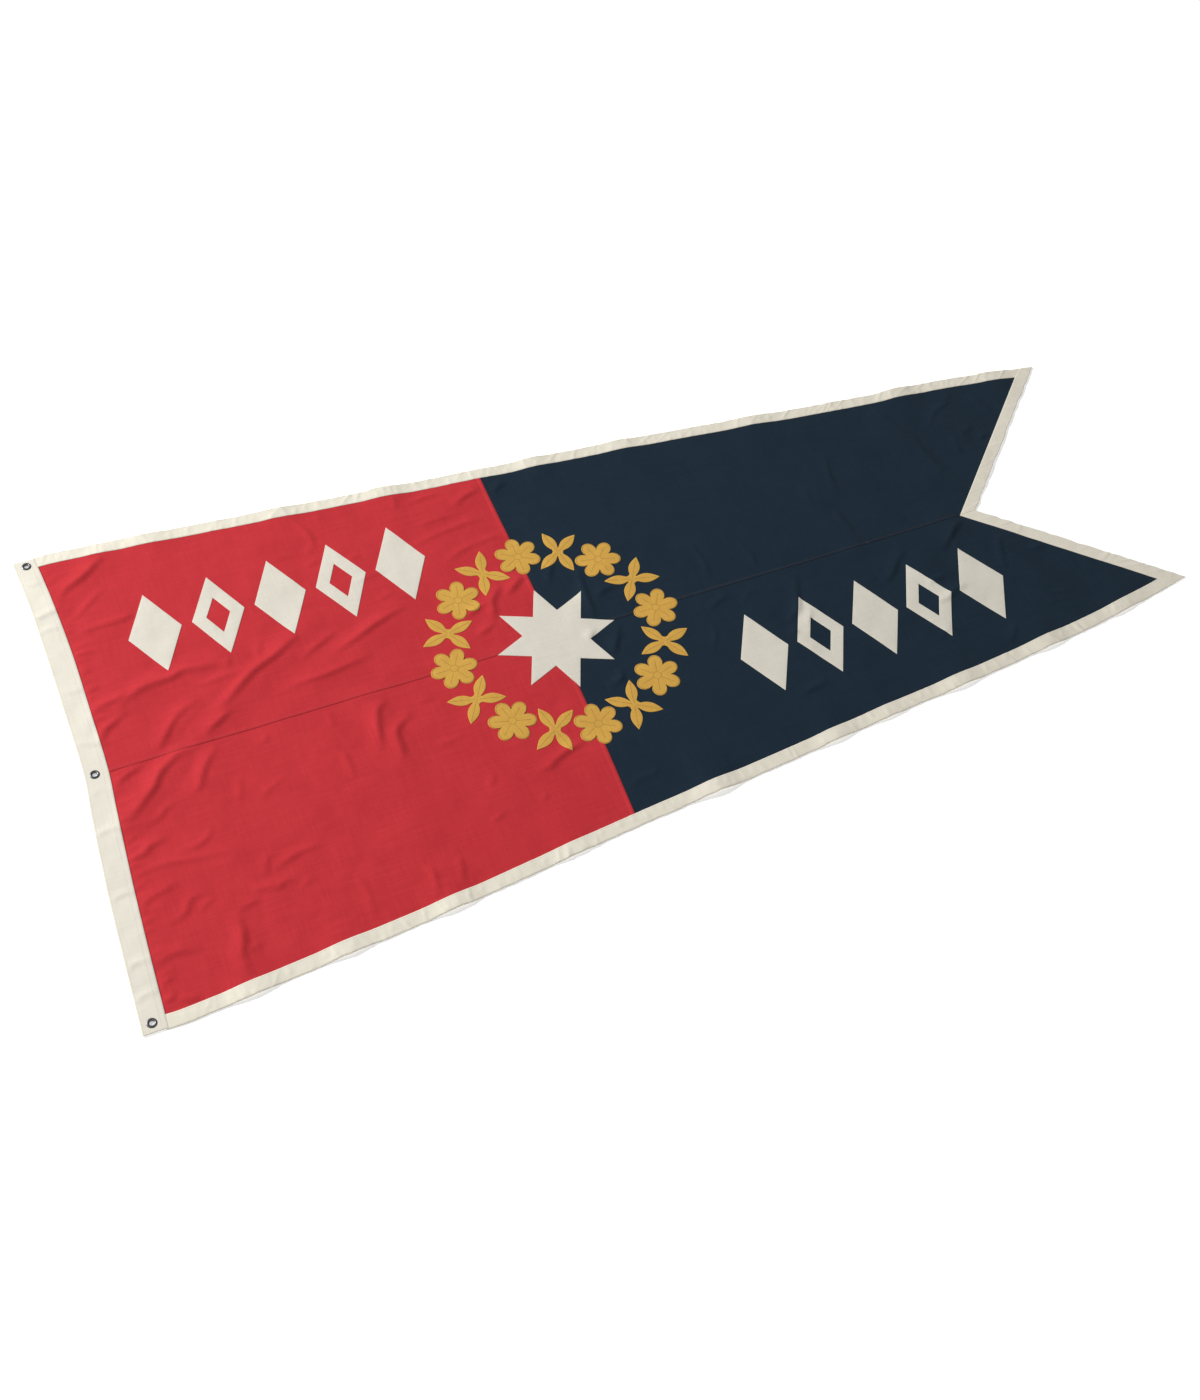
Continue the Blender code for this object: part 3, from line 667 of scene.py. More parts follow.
def woven(name, deep, light, pitch, relief, roughness, sheen, mottle=14.0):
    """Plain woven cloth: threads over and under each other, uneven yarn, soft clouds of colour, and painted
    shade in the gaps between the threads.
    """
    material, surface, shade = blank_material(name)
    place = shade.node("TexCoord", {}, {}, "Object")
    along = shade.node("SeparateXYZ", {}, {0: place}, 0)
    across = shade.node("SeparateXYZ", {}, {0: place}, 1)
    warp = shade.math("SINE", along * (math.pi / pitch))
    weft = shade.math("SINE", across * (math.pi / pitch))
    over = (warp * weft) > 0.0
    thread = abs(warp) * over + abs(weft) * (1.0 - over)
    slubs = []
    for stretch in ((0.04, 1.0, 1.0), (1.0, 0.05, 1.0)):
        drawn = shade.node("VectorMath", {"operation": "MULTIPLY"}, {0: place, 1: stretch})
        slubs.append(shade.node("TexNoise", {}, {"Vector": drawn, "Scale": 0.35 / pitch, "Detail": 2.0}))
    yarn = slubs[0] * 0.5 + slubs[1] * 0.5
    clouds = shade.node("TexNoise", {}, {"Vector": place, "Scale": mottle, "Detail": 5.0, "Roughness": 0.6})
    # The colour is a little lighter on the crests of the threads and darker in the gaps between them, which
    # is painted shade in the weave. The clouds and yarn terms are the cloth's own uneven tone.
    tone = clouds * 0.8 + yarn * 1.5 + thread * 0.16 - 0.73
    clamped = shade.node("Clamp", {}, {0: tone})
    colours = {0: clamped, 6: (*deep, 1.0), 7: (*light, 1.0)}
    shade.node("Mix", {"data_type": "RGBA"}, colours, 2).feed(surface, "Base Color")
    height = thread + yarn * 1.4
    bump = shade.node("Bump", {}, {"Strength": 0.55, "Distance": relief, "Height": height})
    bump.feed(surface, "Normal")
    surface.inputs["Roughness"].default_value = roughness
    surface.inputs["Specular IOR Level"].default_value = 0.12
    surface.inputs["Sheen Weight"].default_value = sheen
    surface.inputs["Sheen Roughness"].default_value = 0.5
    return material


def heading_inner(up):
    return curve(hoist_stations, up, 2)


def middle_seam(along):
    return curve(middle_stations, along, 1)


def colour_seam(up):
    return curve(colour_stations, up, 1)


def run_along(start, end, height, count=240):
    """Points of an edge that runs along the flag."""
    along = np.linspace(start, end, count)
    return np.column_stack((along, height(along)))


def run_up(start, end, place, count=160):
    """Points of an edge that runs up the flag."""
    up = np.linspace(start, end, count)
    return np.column_stack((place(up), up))


def lay_cloth(piece, node, area):
    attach(piece, "root")
    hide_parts(node)


def under_top_band(along):
    return top_edge(along) - top_band + tuck


def over_bottom_band(along):
    return bottom_edge(along) + bottom_band - tuck


red_bunting = woven("red_bunting", (0.50, 0.026, 0.034), (0.64, 0.040, 0.050), 0.0009, 0.00012, 0.82, 0.04)
seam_strip = 0.0060
seam_rise = 0.0005
crossing = 0.8235
crossing_up = float(middle_seam(crossing))
seam_start = (float(heading_inner(-0.0065)) - tuck, float(middle_seam(0.050)))
seam_top = float(colour_seam(0.370))
seam_foot = float(colour_seam(-0.355))
top_of_red = float(top_edge(0.824)) - top_band + tuck
foot_of_red = float(bottom_edge(0.813)) + bottom_band - tuck


def seam_shoulder(gone):
    """Rise of a turned strip at a distance from its edge, as a share of its full rise."""
    return np.interp(gone, (0.0, 0.0008, seam_strip - 0.0008, seam_strip), (0.3, 1.0, 1.0, 0.0))


def field_panel(name, sides, size, material, beside_seam, lapped):
    """A panel of bunting. Its side at the colour seam and its lapped foot carry a turned strip."""
    width, height = size
    strip = (0.0008, 0.0030, seam_strip - 0.0008, seam_strip)
    across = steps(width, 0.0044, strip)
    rise = steps(height, 0.0038, strip)
    plan = patch(*sides, across, rise)
    faces = squares(len(across), len(rise))
    base = lie(plan[:, 0], plan[:, 1])
    turned = np.zeros(len(plan))
    if beside_seam:
        turned = np.maximum(turned, np.repeat(seam_shoulder((1.0 - across) * width), len(rise)))
    if lapped:
        turned = np.maximum(turned, np.tile(seam_shoulder(rise * height), len(across)))
    over = base + bunting_thickness + seam_rise * turned
    piece = thick_cloth(name, plan, faces, base, over, material)
    lay_cloth(piece, name, abs(plan_area(plan, faces)))


def red_panels():
    def beside_heading(up):
        return heading_inner(up) - tuck

    top_start = float(beside_heading(0.43))
    bottom_start = float(beside_heading(-0.43))
    upper = (
        run_along(seam_start[0], crossing, middle_seam),
        run_along(top_start, seam_top, under_top_band),
        run_up(seam_start[1], float(under_top_band(top_start)), beside_heading),
        run_up(crossing_up, top_of_red, colour_seam),
    )
    lower = (
        run_along(bottom_start, seam_foot, over_bottom_band),
        run_along(seam_start[0], crossing, middle_seam),
        run_up(float(over_bottom_band(bottom_start)), seam_start[1], beside_heading),
        run_up(foot_of_red, crossing_up, colour_seam),
    )
    field_panel("field_red_upper", upper, (0.795, 0.450), red_bunting, True, True)
    field_panel("field_red_lower", lower, (0.795, 0.440), red_bunting, True, False)


red_panels()


# Blue panels
# Two panels of dark blue bunting, cut to the slope of the swallow tail. They meet the red panels at
# the colour seam and each other at the middle seam, which ends at the notch.
blue_bunting = woven(
    "blue_bunting", (0.0075, 0.019, 0.034), (0.013, 0.029, 0.047),
    0.0009, 0.00012, 0.80, 0.03,
)


def blue_panels():
    notch = (field_notch[0] + tuck, field_notch[1])
    upper_corner = (upper_field_tip[0] + tuck, upper_field_tip[1] + 0.5 * tuck)
    lower_corner = (lower_field_tip[0] + tuck, lower_field_tip[1] - 0.5 * tuck)
    upper = (
        run_along(crossing, notch[0], middle_seam),
        run_along(seam_top, upper_corner[0], under_top_band),
        run_up(crossing_up, top_of_red, colour_seam),
        (notch, upper_corner),
    )
    lower = (
        run_along(seam_foot, lower_corner[0], over_bottom_band),
        run_along(crossing, notch[0], middle_seam),
        run_up(foot_of_red, crossing_up, colour_seam),
        (lower_corner, notch),
    )
    field_panel("field_blue_upper", upper, (1.090, 0.385), blue_bunting, False, True)
    field_panel("field_blue_lower", lower, (1.090, 0.370), blue_bunting, False, False)


blue_panels()


# Heading
# A strip of cream cotton canvas, folded over the hoist edge of the field and sewn down, with holes
# for three eyelets. It is stiffer than the bands and coarser in its weave, and is creased across in places.
heading_canvas = woven(
    "heading_canvas", (0.80, 0.75, 0.64), (0.88, 0.84, 0.73),
    0.0011, 0.00016, 0.85, 0.04, 9.0,
)
heading_thickness = 0.0019
eyelet_hole = 0.0055


def heading_strip():
    across = steps(0.040, 0.0026, (0.0003, 0.0009, 0.0018))
    rise = steps(0.916, 0.0032, (0.0003, 0.0009, 0.0018))
    low, high = hoist_stations[0], hoist_stations[-1]
    outer = run_up(low[0], high[0], lambda up: curve(hoist_stations, up, 1), 300)
    inner = run_up(low[0], high[0], heading_inner, 300)
    plan = patch((outer[0], inner[0]), (outer[-1], inner[-1]), outer, inner, across, rise)
    faces = squares(len(across), len(rise))
    for eyelet_x, eyelet_y in eyelets.values():
        middles = plan[faces].mean(axis=1) - (eyelet_x, eyelet_y)
        faces = faces[np.hypot(*middles.T) > eyelet_hole]
        offset = plan - (eyelet_x, eyelet_y)
        reach = np.hypot(*offset.T)
        close = np.nonzero((reach > 1e-6) & (reach < eyelet_hole))[0]
        plan[close] = (eyelet_x, eyelet_y) + offset[close] * (eyelet_hole / reach[close])[:, None]
    base = lie(plan[:, 0], plan[:, 1])
    edges = turned_edge(edge_distance(across, rise, 0.040, 0.916), 0.0016)
    middle = base + 0.5 * heading_thickness
    half = 0.5 * heading_thickness * edges
    piece = thick_cloth("heading", plan, faces, middle - half, middle + half, heading_canvas)
    lay_cloth(piece, "heading", abs(plan_area(plan, faces)))


heading_strip()


# Edge bands
# Cream cotton binding tape, folded over the long edges of the field and sewn down beside both of its
# own edges. It starts under the heading and ends under the bands of the tails.
cream_binding = woven(
    "cream_binding", (0.82, 0.765, 0.635), (0.91, 0.86, 0.735),
    0.0008, 0.00010, 0.85, 0.04, 22.0,
)
band_thickness = 0.0015
close_rows = (0.0003, 0.0008, 0.0016)


pleat_height = 0.0011
pleat_spacing = 0.020
hem_droop = 0.0030


def pleat_rise(across, rise, length, width, seed):
    """Small pleats across a tape, where the sewing has taken up the slack of its folded edge."""
    chance = np.random.default_rng(seed)
    reach = np.repeat(across * length, len(rise))
    share = np.tile(rise, len(across))
    height = np.zeros(len(reach))
    middle = chance.uniform(0.005, pleat_spacing)
    while middle < length - 0.004:
        slant = chance.uniform(-0.9, 0.9) * width
        offset = middle + slant * (share - 0.5) - reach
        steep = chance.uniform(0.0012, 0.0026)
        slow = chance.uniform(0.006, 0.018)
        climb = np.clip((offset + steep) / (2.0 * steep), 0.0, 1.0)
        fall = np.clip(1.0 - (offset - steep) / slow, 0.0, 1.0) ** 2
        tallness = pleat_height * chance.uniform(0.15, 1.0) ** 2
        height += tallness * climb * climb * (3.0 - 2.0 * climb) * fall
        middle += chance.uniform(0.25, 1.75) * pleat_spacing
    return height


def band(name, sides, size, seed, hem, thickness=band_thickness):
    """A tape between its edges. Its folded hem side, low or high, droops where it lifts off the floor."""
    length, width = size
    across = steps(length, 0.0026, close_rows)
    rise = steps(width, 0.0026, close_rows)
    plan = patch(*sides, across, rise)
    faces = squares(len(across), len(rise))
    base = lie(plan[:, 0], plan[:, 1])
    edges = turned_edge(edge_distance(across, rise, length, width), 0.0012)
    from_hem = np.tile((rise if hem == "low" else 1.0 - rise) * width, len(across))
    pleats = pleat_rise(across, rise, length, width, seed) * (0.35 + 0.65 * bell(from_hem, width))
    middle = base + 0.5 * thickness
    half = 0.5 * thickness * edges
    droop = hem_droop * bell(from_hem, hem_droop)
    under = np.maximum(middle - half - droop, np.minimum(middle - half, 0.00015))
    piece = thick_cloth(name, plan, faces, under, middle + half + pleats, cream_binding)
    lay_cloth(piece, name, abs(plan_area(plan, faces)))


def wavy(line, seed, sway=0.0007):
    """The outer edge of a tape, which wanders in and out a little as it was sewn."""
    chance = np.random.default_rng(seed)
    line = np.array(line, dtype=float)
    lengths = np.concatenate(((0.0,), np.cumsum(np.hypot(*np.diff(line, axis=0).T))))
    knots = np.arange(0.0, lengths[-1] + 0.04, 0.013)
    shifts = np.interp(lengths, knots, chance.uniform(-sway, sway, len(knots)))
    shifts *= np.clip(np.minimum(lengths, lengths[-1] - lengths) / 0.02, 0.0, 1.0)
    ahead = np.gradient(line, axis=0)
    ahead /= np.hypot(*ahead.T)[:, None]
    return line + np.column_stack((-ahead[:, 1], ahead[:, 0])) * shifts[:, None]


def tail_cover(field_tip, width, edge):
    """Where the inner edge of a tail band, run on past the field's tip, reaches the flag's long edge."""
    slope = np.array(field_tip) - field_notch
    along = field_tip[0] + slope[0] * width / abs(slope[1])
    return along, float(edge(along))


upper_cover = tail_cover(upper_field_tip, top_band, top_edge)
lower_cover = tail_cover(lower_field_tip, bottom_band, bottom_edge)


def long_bands():
    start = 0.0365 - tuck
    outer = wavy(run_along(start, upper_cover[0] + tuck, top_edge, 700), 31)
    inner = run_along(start, upper_field_tip[0] + tuck, lambda along: top_edge(along) - top_band, 700)
    sides = (inner, outer, (inner[0], outer[0]), (inner[-1], outer[-1]))
    band("edge_band_top", sides, (1.89, top_band), 41, "high")
    start = 0.0345 - tuck
    outer = wavy(run_along(start, lower_cover[0] + tuck, bottom_edge, 700), 32)
    inner = run_along(start, lower_field_tip[0] + tuck, lambda along: bottom_edge(along) + bottom_band, 700)
    sides = (outer, inner, (outer[0], inner[0]), (outer[-1], inner[-1]))
    band("edge_band_bottom", sides, (1.88, bottom_band), 42, "low")


long_bands()


# Tail bands
# The same tape folded over the two slanting edges of the swallow tail. Each covers the end of a long
# band at its tip, and the two meet in a mitre at the notch.
notch = (1.657, -0.0080)
tail_thickness = band_thickness + 0.0004


def tail_bands():
    for name, tip, inner_line, width, seed in (
        ("tail_band_upper", upper_tip, (field_notch, upper_field_tip, upper_cover), top_band, 43),
        ("tail_band_lower", lower_tip, (field_notch, lower_field_tip, lower_cover), bottom_band, 44),
    ):
        outer = wavy(spread_on((notch, tip), np.linspace(0, 1, 200)), seed, 0.0012)
        inner = spread_on(inner_line, np.linspace(0, 1, 200))
        sides = (outer, inner, (outer[0], inner[0]), (outer[-1], inner[-1]))
        band(name, sides, (0.40, width), seed, "low", tail_thickness)


tail_bands()


# Eyelets
# Three nickel eyelets through the heading, each a rolled rim on top, a barrel through the cloth and a
# washer under it. The metal is dark with handling, and finely scratched.
eyelet_nickel, eyelet_surface, eyelet_shade = blank_material("dark_nickel")
place = eyelet_shade.node("TexCoord", {}, {}, "Object")
tarnish = eyelet_shade.node("TexNoise", {}, {"Vector": place, "Scale": 420.0, "Detail": 4.0})
scratches = eyelet_shade.node("TexNoise", {}, {"Vector": place, "Scale": 1900.0, "Detail": 2.0})
metal_colours = {0: tarnish, 6: (0.07, 0.07, 0.08, 1.0), 7: (0.26, 0.26, 0.27, 1.0)}
eyelet_shade.node("Mix", {"data_type": "RGBA"}, metal_colours, 2).feed(eyelet_surface, "Base Color")
(0.22 + tarnish * 0.28).feed(eyelet_surface, "Roughness")
scratched = {"Strength": 0.3, "Distance": 0.00004, "Height": scratches + tarnish}
eyelet_shade.node("Bump", {}, scratched).feed(eyelet_surface, "Normal")
eyelet_surface.inputs["Metallic"].default_value = 1.0
eyelet_seat = eyelet_level + heading_thickness + 0.0001
bore = 0.0040
barrel = 0.0047
washer = 0.0077
washer_top = 0.0009
rim_middle = 0.0060
rim_half_width = 0.0020
rim_rise = 0.0013
# Profile of the eyelet, turned about its hole: radius, height
eyelet_profile = [(bore, 0.0004), (0.0042, 0.0001), (0.0046, 0.0), (0.0074, 0.0), (washer, 0.0002)]
eyelet_profile += [(washer, 0.0007), (0.0074, washer_top), (0.0049, washer_top), (barrel, 0.0012)]
eyelet_profile += [(barrel, eyelet_seat)]
for step in range(-2, 14):
    rolled = math.pi * step / 12
    rim_height = eyelet_seat + 0.0002 + rim_rise * max(math.sin(rolled), -0.15)
    eyelet_profile.append((rim_middle + rim_half_width * math.cos(rolled), rim_height))


def turned_eyelet(name, centre):
    parts = 64
    points = []
    for step in range(parts):
        angle = 2.0 * math.pi * step / parts
        for radius, height in eyelet_profile:
            x = centre[0] + radius * math.cos(angle) - flag_middle[0]
            y = centre[1] + radius * math.sin(angle) - flag_middle[1]
            points.append((x, y, height))
    count = len(eyelet_profile)
    faces = []
    for step in range(parts):
        for index in range(count):
            here, after = step * count, (step + 1) % parts * count
            following = (index + 1) % count
            faces.append((here + index, after + index, after + following, here + following))
    mesh = bpy.data.meshes.new(name + "_turned")
    mesh.from_pydata(points, [], faces)
    mesh.shade_smooth()
    mesh.materials.append(eyelet_nickel)
    piece = bpy.data.objects.new(name + "_turned", mesh)
    bpy.context.scene.collection.objects.link(piece)
    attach(piece, "root")
    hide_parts(name)


for eyelet_name, eyelet_centre in eyelets.items():
    turned_eyelet("eyelet_" + eyelet_name, eyelet_centre)


# Lozenges
# Two rows of cream cotton lozenges sewn flat on the panels, one row on the red and one on the blue.
# Every second lozenge is open in the middle. Their edges are turned under and sewn close.
cream_cotton = woven(
    "cream_cotton", (0.72, 0.68, 0.58), (0.82, 0.78, 0.68),
    0.0008, 0.00010, 0.85, 0.04, 18.0,
)
applied_thickness = 0.0006
stitch_inset = 0.0016


def turned_about(outline, angle, centre):
    cosine, sine = math.cos(angle), math.sin(angle)
    outline = np.asarray(outline, dtype=float)
    return np.column_stack((
        centre[0] + outline[:, 0] * cosine - outline[:, 1] * sine,
        centre[1] + outline[:, 0] * sine + outline[:, 1] * cosine,
    ))


def densely(corners, step):
    """The corners of a closed outline, with points between them at about even steps."""
    corners = np.asarray(corners, dtype=float)
    points = []
    for start, end in zip(corners, np.roll(corners, -1, axis=0)):
        count = max(1, round(float(np.hypot(*(end - start))) / step))
        points += [start + (end - start) * part / count for part in range(count)]
    return np.array(points)


def support(outline):
    """Distance from the middle of an outline to the line of its edge at each point."""
    after = np.roll(outline, -1, axis=0) - outline
    before = outline - np.roll(outline, 1, axis=0)
    ahead = np.abs(outline[:, 0] * after[:, 1] - outline[:, 1] * after[:, 0]) / np.hypot(*after.T)
    behind = np.abs(outline[:, 0] * before[:, 1] - outline[:, 1] * before[:, 0]) / np.hypot(*before.T)
    return np.maximum(np.minimum(ahead, behind), 0.002)


def applied_piece(node, outline, angle, centre, material, step, opening, hosts):
    """A piece of cotton sewn on the field, meshed in rings from its outline inwards."""
    depth = support(outline)
    reach = float(np.median(depth))
    close = [part for part in (0.0003, 0.0008, 0.0016, 0.0026, 0.0040) if part < 0.6 * reach]
    ends = 1.0 - opening if opening else 1.0 - min(0.0015 / reach, 0.2)
    shares = [part / reach for part in close]
    count = max(2, round((ends * reach - close[-1]) / step))
    far = [ends - part / reach for part in close][::-1] if opening else []
    if opening:
        shares += list(np.linspace(shares[-1], far[0], count + 1)[1:-1]) + far
    else:
        shares += list(np.linspace(shares[-1], ends, count + 1)[1:])
    gone = np.array([0.0] + shares + ([ends] if opening else []))
    rings = len(gone)
    local = outline[:, None, :] * (1.0 - gone)[None, :, None]
    inside = gone[None, :] * depth[:, None]
    if opening:
        inside = np.minimum(inside, (ends - gone)[None, :] * depth[:, None])
    plan = turned_about(local.reshape(-1, 2), angle, centre)
    inside = inside.ravel()
    faces = squares(len(outline), rings, wraps=True)
    fan = None
    if not opening:
        hub = len(plan)
        plan = np.vstack((plan, centre))
        inside = np.append(inside, reach)
        last = np.arange(len(outline)) * rings + rings - 1
        fan = np.column_stack((last, np.roll(last, -1), np.full(len(last), hub)))
    base = lie(plan[:, 0], plan[:, 1]) + bunting_thickness + 0.0001
    puff = 0.0001 * np.clip((inside - stitch_inset) / 0.004, 0.0, 1.0)
    groove = 0.0001 * bell(np.abs(inside - stitch_inset), 0.0011)
    thickness = applied_thickness * turned_edge(inside, 0.0005)
    over = base + thickness + puff - groove
    piece = thick_cloth(node, plan, faces, base, over, material, fan)
    area = abs(plan_area(plan, faces)) + (abs(plan_area(plan, fan)) if fan is not None else 0.0)
    lay_cloth(piece, node, area)


lozenge_corners = ((0.0455, 0.0), (0.0, 0.0840), (-0.0455, 0.0), (0.0, -0.0840))
lozenge_pitch = 0.1085
lozenge_opening = 0.45
lozenge_depth = 0.040
lozenge_rows = (
    ("red", "field_red_upper", 0.408, 0.2340, (0.6, -0.9, 0.4, 1.1, -0.7)),
    ("blue", "field_blue_lower", 1.366, -0.1600, (-0.5, 0.8, -1.0, 0.6, 1.2)),
)
seam_lines = {"cream": [], "brown": []}
for colour, panel, middle_x, middle_y, leans in lozenge_rows:
    for index, lean in enumerate(leans):
        outline = densely(lozenge_corners, 0.0040)
        centre = (middle_x + lozenge_pitch * (index - 2), middle_y)
        opening = lozenge_opening if index % 2 == 1 else 0.0
        name = f"lozenge_{colour}_{index + 1}"
        angle = math.radians(lean)
        applied_piece(
            name, outline, angle, centre, cream_cotton,
            0.0045, opening, [panel],
        )
        inset_share = stitch_inset / lozenge_depth
        for share in (1.0 - inset_share, opening + inset_share) if opening else (1.0 - inset_share,):
            sewn = densely(np.array(lozenge_corners) * share, 0.004)
            seam_lines["cream"].append((turned_about(sewn, angle, centre), True))


# Centre star
# An eight-pointed star of the same cream cotton, sewn on where the seams of the four panels cross.
# It is cut in one piece, with its edge turned under.
emblem_centre = (crossing, -0.0085)
star_radius = 0.1080
star_waist = 0.541
star_corners = []
for point in range(16):
    angle = math.pi * point / 8
    radius = star_radius if point % 2 == 0 else star_radius * star_waist
    star_corners.append((radius * math.cos(angle), radius * math.sin(angle)))
four_panels = ["field_red_upper", "field_red_lower", "field_blue_upper", "field_blue_lower"]
applied_piece(
    "centre_star", densely(star_corners, 0.0040), 0.0, emblem_centre, cream_cotton,
    0.0045, 0.0, four_panels,
)
sewn = densely(np.array(star_corners) * 0.962, 0.004)
seam_lines["cream"].append((turned_about(sewn, 0.0, emblem_centre), True))


# Ring of flowers and sprigs
# Eight six-petalled flowers and eight four-leaved sprigs of gold cotton, sewn in a ring round the
# star. Brown thread draws their petals and the ribs of their leaves.
gold_cotton = woven("gold_cotton", (0.60, 0.33, 0.06), (0.78, 0.46, 0.09), 0.0008, 0.00010, 0.80, 0.04, 30.0)
ring_radius = 0.1860
flower_radius = 0.0410
flower_waist = 0.58
leaf_length = 0.0500
leaf_half_width = 0.0100
leaf_spread = math.radians(36.0)
leaf_turns = (leaf_spread, math.pi - leaf_spread, math.pi + leaf_spread, -leaf_spread)
stem_radius = 0.0090
heart_radius = 0.007


def on_ring(angle):
    x = emblem_centre[0] + math.cos(angle) * ring_radius
    y = emblem_centre[1] + math.sin(angle) * ring_radius
    return (x, y)


def ring_hosts(centre):
    """The panels that lie under a place on the ring."""
    reach = 0.05
    reds = centre[0] - reach < emblem_centre[0]
    blues = centre[0] + reach > emblem_centre[0]
    uppers = centre[1] + reach > emblem_centre[1]
    lowers = centre[1] - reach < emblem_centre[1]
    names = []
    for colour, there in (("red", reds), ("blue", blues)):
        for row, crossed in (("upper", uppers), ("lower", lowers)):
            if there and crossed:
                names.append(f"field_{colour}_{row}")
    return names


flower_outline = []
for step in range(96):
    angle = 2.0 * math.pi * step / 96
    swing = abs(math.cos(3.0 * angle)) ** 0.7
    radius = flower_radius * (flower_waist + (1.0 - flower_waist) * swing)
    flower_outline.append((radius * math.cos(angle), radius * math.sin(angle)))
flower_outline = np.array(flower_outline)
sprig_outline = []
for leaf, leaf_turn in enumerate(leaf_turns):
    shares = np.concatenate((np.linspace(0.20, 0.92, 10), (0.97, 1.0)))
    one_side = np.column_stack((leaf_length * shares, -leaf_half_width * np.sin(np.pi * shares)))
    other_side = one_side[-2::-1] * (1.0, -1.0)
    sprig_outline += list(turned_about(np.vstack((one_side, other_side)), leaf_turn, (0.0, 0.0)))
    valley = math.pi / 2.0 * (leaf + 1)
    sprig_outline.append((math.cos(valley) * stem_radius, math.sin(valley) * stem_radius))
sprig_outline = np.array(sprig_outline)
for repeat in range(8):
    angle = 2.0 * math.pi * repeat / 8
    centre = on_ring(angle)
    applied_piece(
        f"ring_flower_{repeat + 1}", flower_outline, angle, centre, gold_cotton,
        0.0032, 0.0, ring_hosts(centre),
    )
    for petal in range(6):
        rib = turned_about(((0.008, 0.0), (0.031, 0.0)), math.pi * petal / 3, (0.0, 0.0))
        seam_lines["brown"].append((turned_about(rib, angle, centre), False))
    heart_turns = [math.pi * part / 12 for part in range(24)]
    heart = [(heart_radius * math.cos(turn), heart_radius * math.sin(turn)) for turn in heart_turns]
    seam_lines["brown"].append((turned_about(heart, angle, centre), True))
    seam_lines["brown"].append((turned_about(flower_outline * 0.955, angle, centre), True))
    angle += math.pi / 8
    centre = on_ring(angle)
    applied_piece(
        f"ring_sprig_{repeat + 1}", sprig_outline, angle, centre, gold_cotton,
        0.0025, 0.0, ring_hosts(centre),
    )
    for leaf_turn in leaf_turns:
        rib = turned_about(((0.004, 0.0), (0.044, 0.0)), leaf_turn, (0.0, 0.0))
        seam_lines["brown"].append((turned_about(rib, angle, centre), False))


# Sewing
# Lock stitches of cotton thread along every seam, each stitch a small rounded grain that dips into
# the cloth at its ends. Cream thread sews the tape, dark thread the middle seam and red the colour seam.
stitch_shape = np.array((
    (-0.50, 0.0, -0.4), (-0.26, 0.5, 0.0), (-0.26, 0.0, 1.0), (-0.26, -0.5, 0.0), (-0.26, 0.0, -0.6),
    (0.26, 0.5, 0.0), (0.26, 0.0, 1.0), (0.26, -0.5, 0.0), (0.26, 0.0, -0.6), (0.50, 0.0, -0.4),
))
stitch_faces = []
for side in range(4):
    following = (side + 1) % 4
    stitch_faces.append((0, 1 + side, 1 + following))
    stitch_faces.append((9, 5 + following, 5 + side))
    stitch_faces.append((1 + side, 5 + side, 5 + following, 1 + following))


def thread(name, deep, light):
    material, surface, shade = blank_material(name)
    place = shade.node("TexCoord", {}, {}, "Object")
    twist = shade.node("TexNoise", {}, {"Vector": place, "Scale": 1400.0, "Detail": 2.0})
    colours = {0: twist, 6: (*deep, 1.0), 7: (*light, 1.0)}
    shade.node("Mix", {"data_type": "RGBA"}, colours, 2).feed(surface, "Base Color")
    shade.node("Bump", {}, {"Strength": 0.4, "Distance": 0.0001, "Height": twist}).feed(surface, "Normal")
    surface.inputs["Roughness"].default_value = 0.7
    return material


def stitches(name, lines, material, lift, pitch=0.0034, long=0.0027, wide=0.0007, high=0.00028):
    """A row of stitches along each line. A line is its points, and whether it closes on itself."""
    middles = []
    aims = []
    for points, closes in lines:
        points = np.asarray(points, dtype=float)
        if closes:
            points = np.vstack((points, points[:1]))
        length = float(np.sum(np.hypot(*np.diff(points, axis=0).T)))
        count = max(1, round(length / pitch))
        ends = spread_on(points, np.linspace(0.0, 1.0, count + 1))
        step = np.diff(ends, axis=0)
        middles.append(ends[:-1] + step / 2.0)
        aims.append(step / np.hypot(*step.T)[:, None])
    middles = np.concatenate(middles)
    aims = np.concatenate(aims)
    sideways = np.column_stack((-aims[:, 1], aims[:, 0]))
    plan = middles[:, None] + stitch_shape[None, :, :1] * long * aims[:, None]
    plan = (plan + stitch_shape[None, :, 1:2] * wide * sideways[:, None]).reshape(-1, 2)
    height = lie(plan[:, 0], plan[:, 1]) + lift + np.tile(stitch_shape[:, 2] * high, len(middles))
    vertices = np.column_stack((plan - flag_middle, height))
    faces = []
    for index in range(len(middles)):
        start = index * len(stitch_shape)
        faces += [tuple(start + corner for corner in face) for face in stitch_faces]
    mesh = bpy.data.meshes.new(name)
    mesh.from_pydata(vertices.tolist(), [], faces)
    mesh.shade_smooth()
    mesh.materials.append(material)
    piece = bpy.data.objects.new(name, mesh)
    bpy.context.scene.collection.objects.link(piece)
    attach(piece, "root")
    return piece


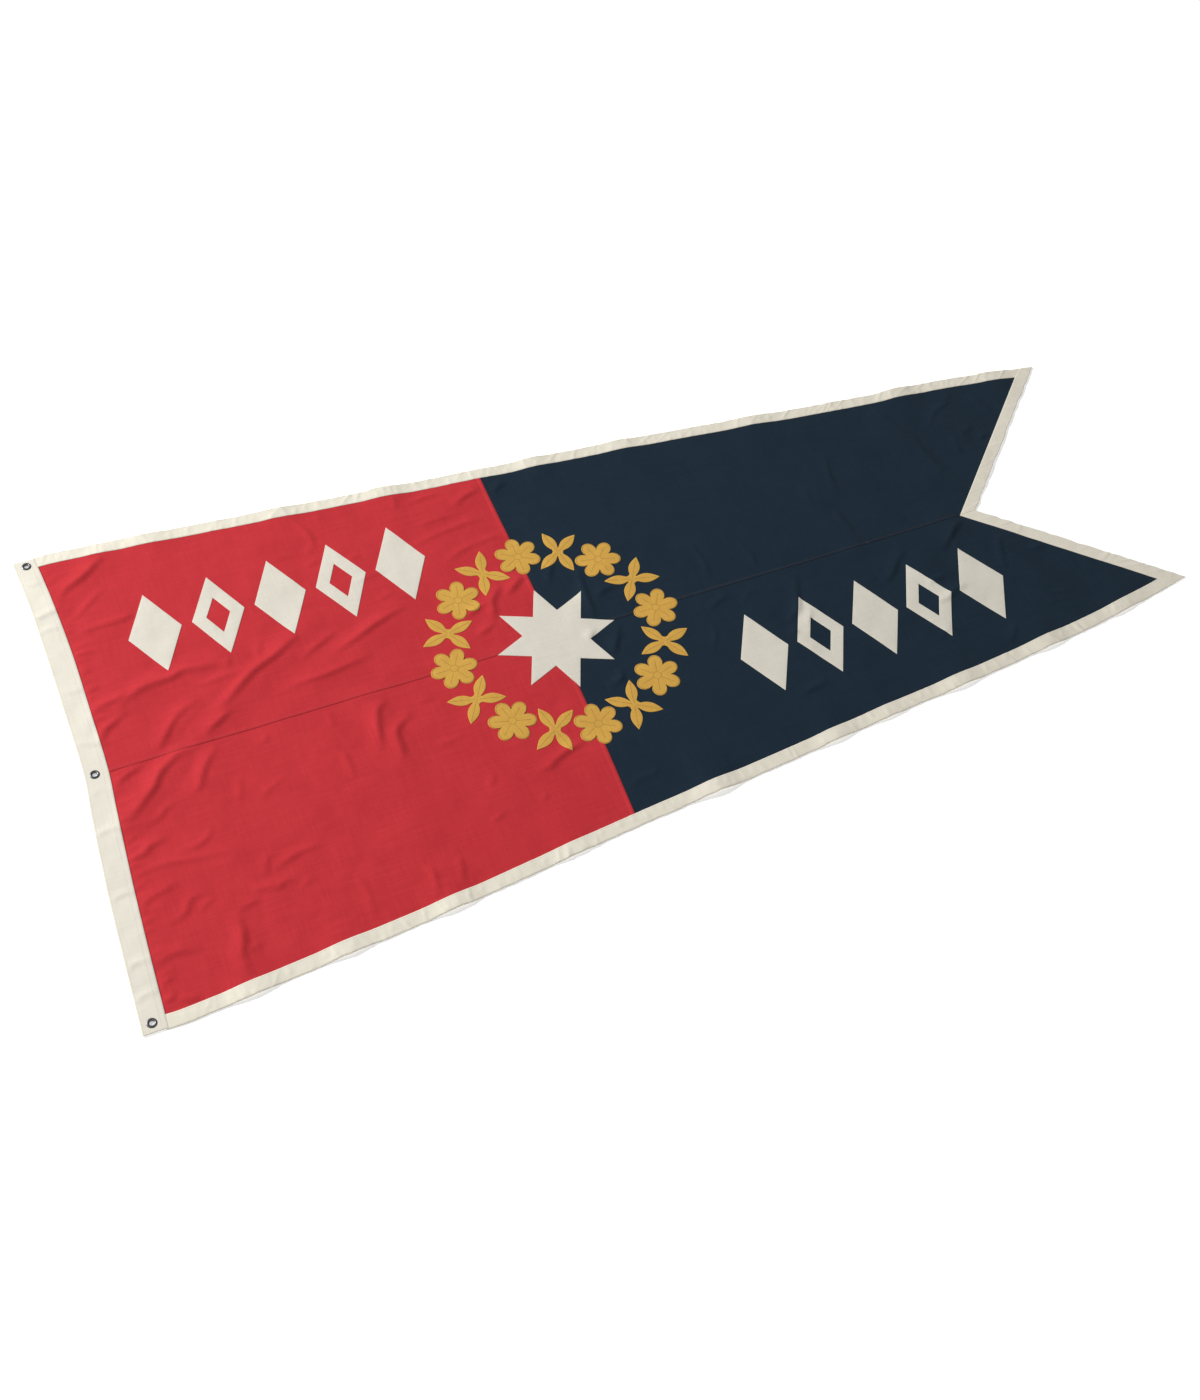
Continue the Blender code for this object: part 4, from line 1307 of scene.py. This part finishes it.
cream_thread = thread("cream_thread", (0.62, 0.57, 0.46), (0.80, 0.76, 0.66))
dark_thread = thread("dark_thread", (0.05, 0.02, 0.02), (0.12, 0.05, 0.05))
red_thread = thread("red_thread", (0.24, 0.012, 0.018), (0.36, 0.02, 0.03))
brown_thread = thread("brown_thread", (0.20, 0.09, 0.02), (0.34, 0.17, 0.05))
band_rows = []
for edge, width, sign in ((top_edge, top_band, -1.0), (bottom_edge, bottom_band, 1.0)):
    for row in (0.0018, width - 0.0022):
        offset = sign * row
        band_rows.append((run_along(0.045, 1.90, lambda along: edge(along) + offset, 500), False))
tail_ends = (
    (upper_tip, upper_field_tip, upper_cover),
    (lower_tip, lower_field_tip, lower_cover),
)
for tip, field_tip, cover in tail_ends:
    outer = spread_on((notch, tip), np.linspace(0.01, 0.99, 60))
    inner = spread_on((field_notch, field_tip, cover), np.linspace(0.01, 0.99, 60))
    for share in (0.12, 0.91):
        band_rows.append((outer * (1.0 - share) + inner * share, False))
stitches("band_stitches", band_rows, cream_thread, band_thickness)
heading_rows = []
for inset in (0.0022, 0.0090):
    heading_rows.append((run_up(-0.455, 0.454, lambda up: heading_inner(up) - inset, 300), False))
heading_rows.append((run_up(-0.455, 0.454, lambda up: curve(hoist_stations, up, 1) + 0.003, 300), False))
stitches("heading_stitches", heading_rows, cream_thread, heading_thickness)
strip_top = bunting_thickness + seam_rise
middle_rows = [
    (run_along(0.060, 1.620, lambda along: middle_seam(along) + 0.0015, 500), False),
    (run_along(0.060, 1.620, lambda along: middle_seam(along) + 0.0048, 500), False),
]
stitches("middle_seam_stitches", middle_rows, dark_thread, strip_top)
colour_rows = [
    (run_up(-0.335, 0.345, lambda up: colour_seam(up) - 0.0015, 300), False),
    (run_up(-0.335, 0.345, lambda up: colour_seam(up) - 0.0048, 300), False),
]
stitches("colour_seam_stitches", colour_rows, red_thread, strip_top)
applied_top = bunting_thickness + 0.0001 + applied_thickness - 0.0002
stitches("applied_stitches", seam_lines["cream"], cream_thread, applied_top)
stitches(
    "gold_stitches", seam_lines["brown"], brown_thread, applied_top + 0.0003,
    pitch=0.0026, long=0.0024, wide=0.0008,
)
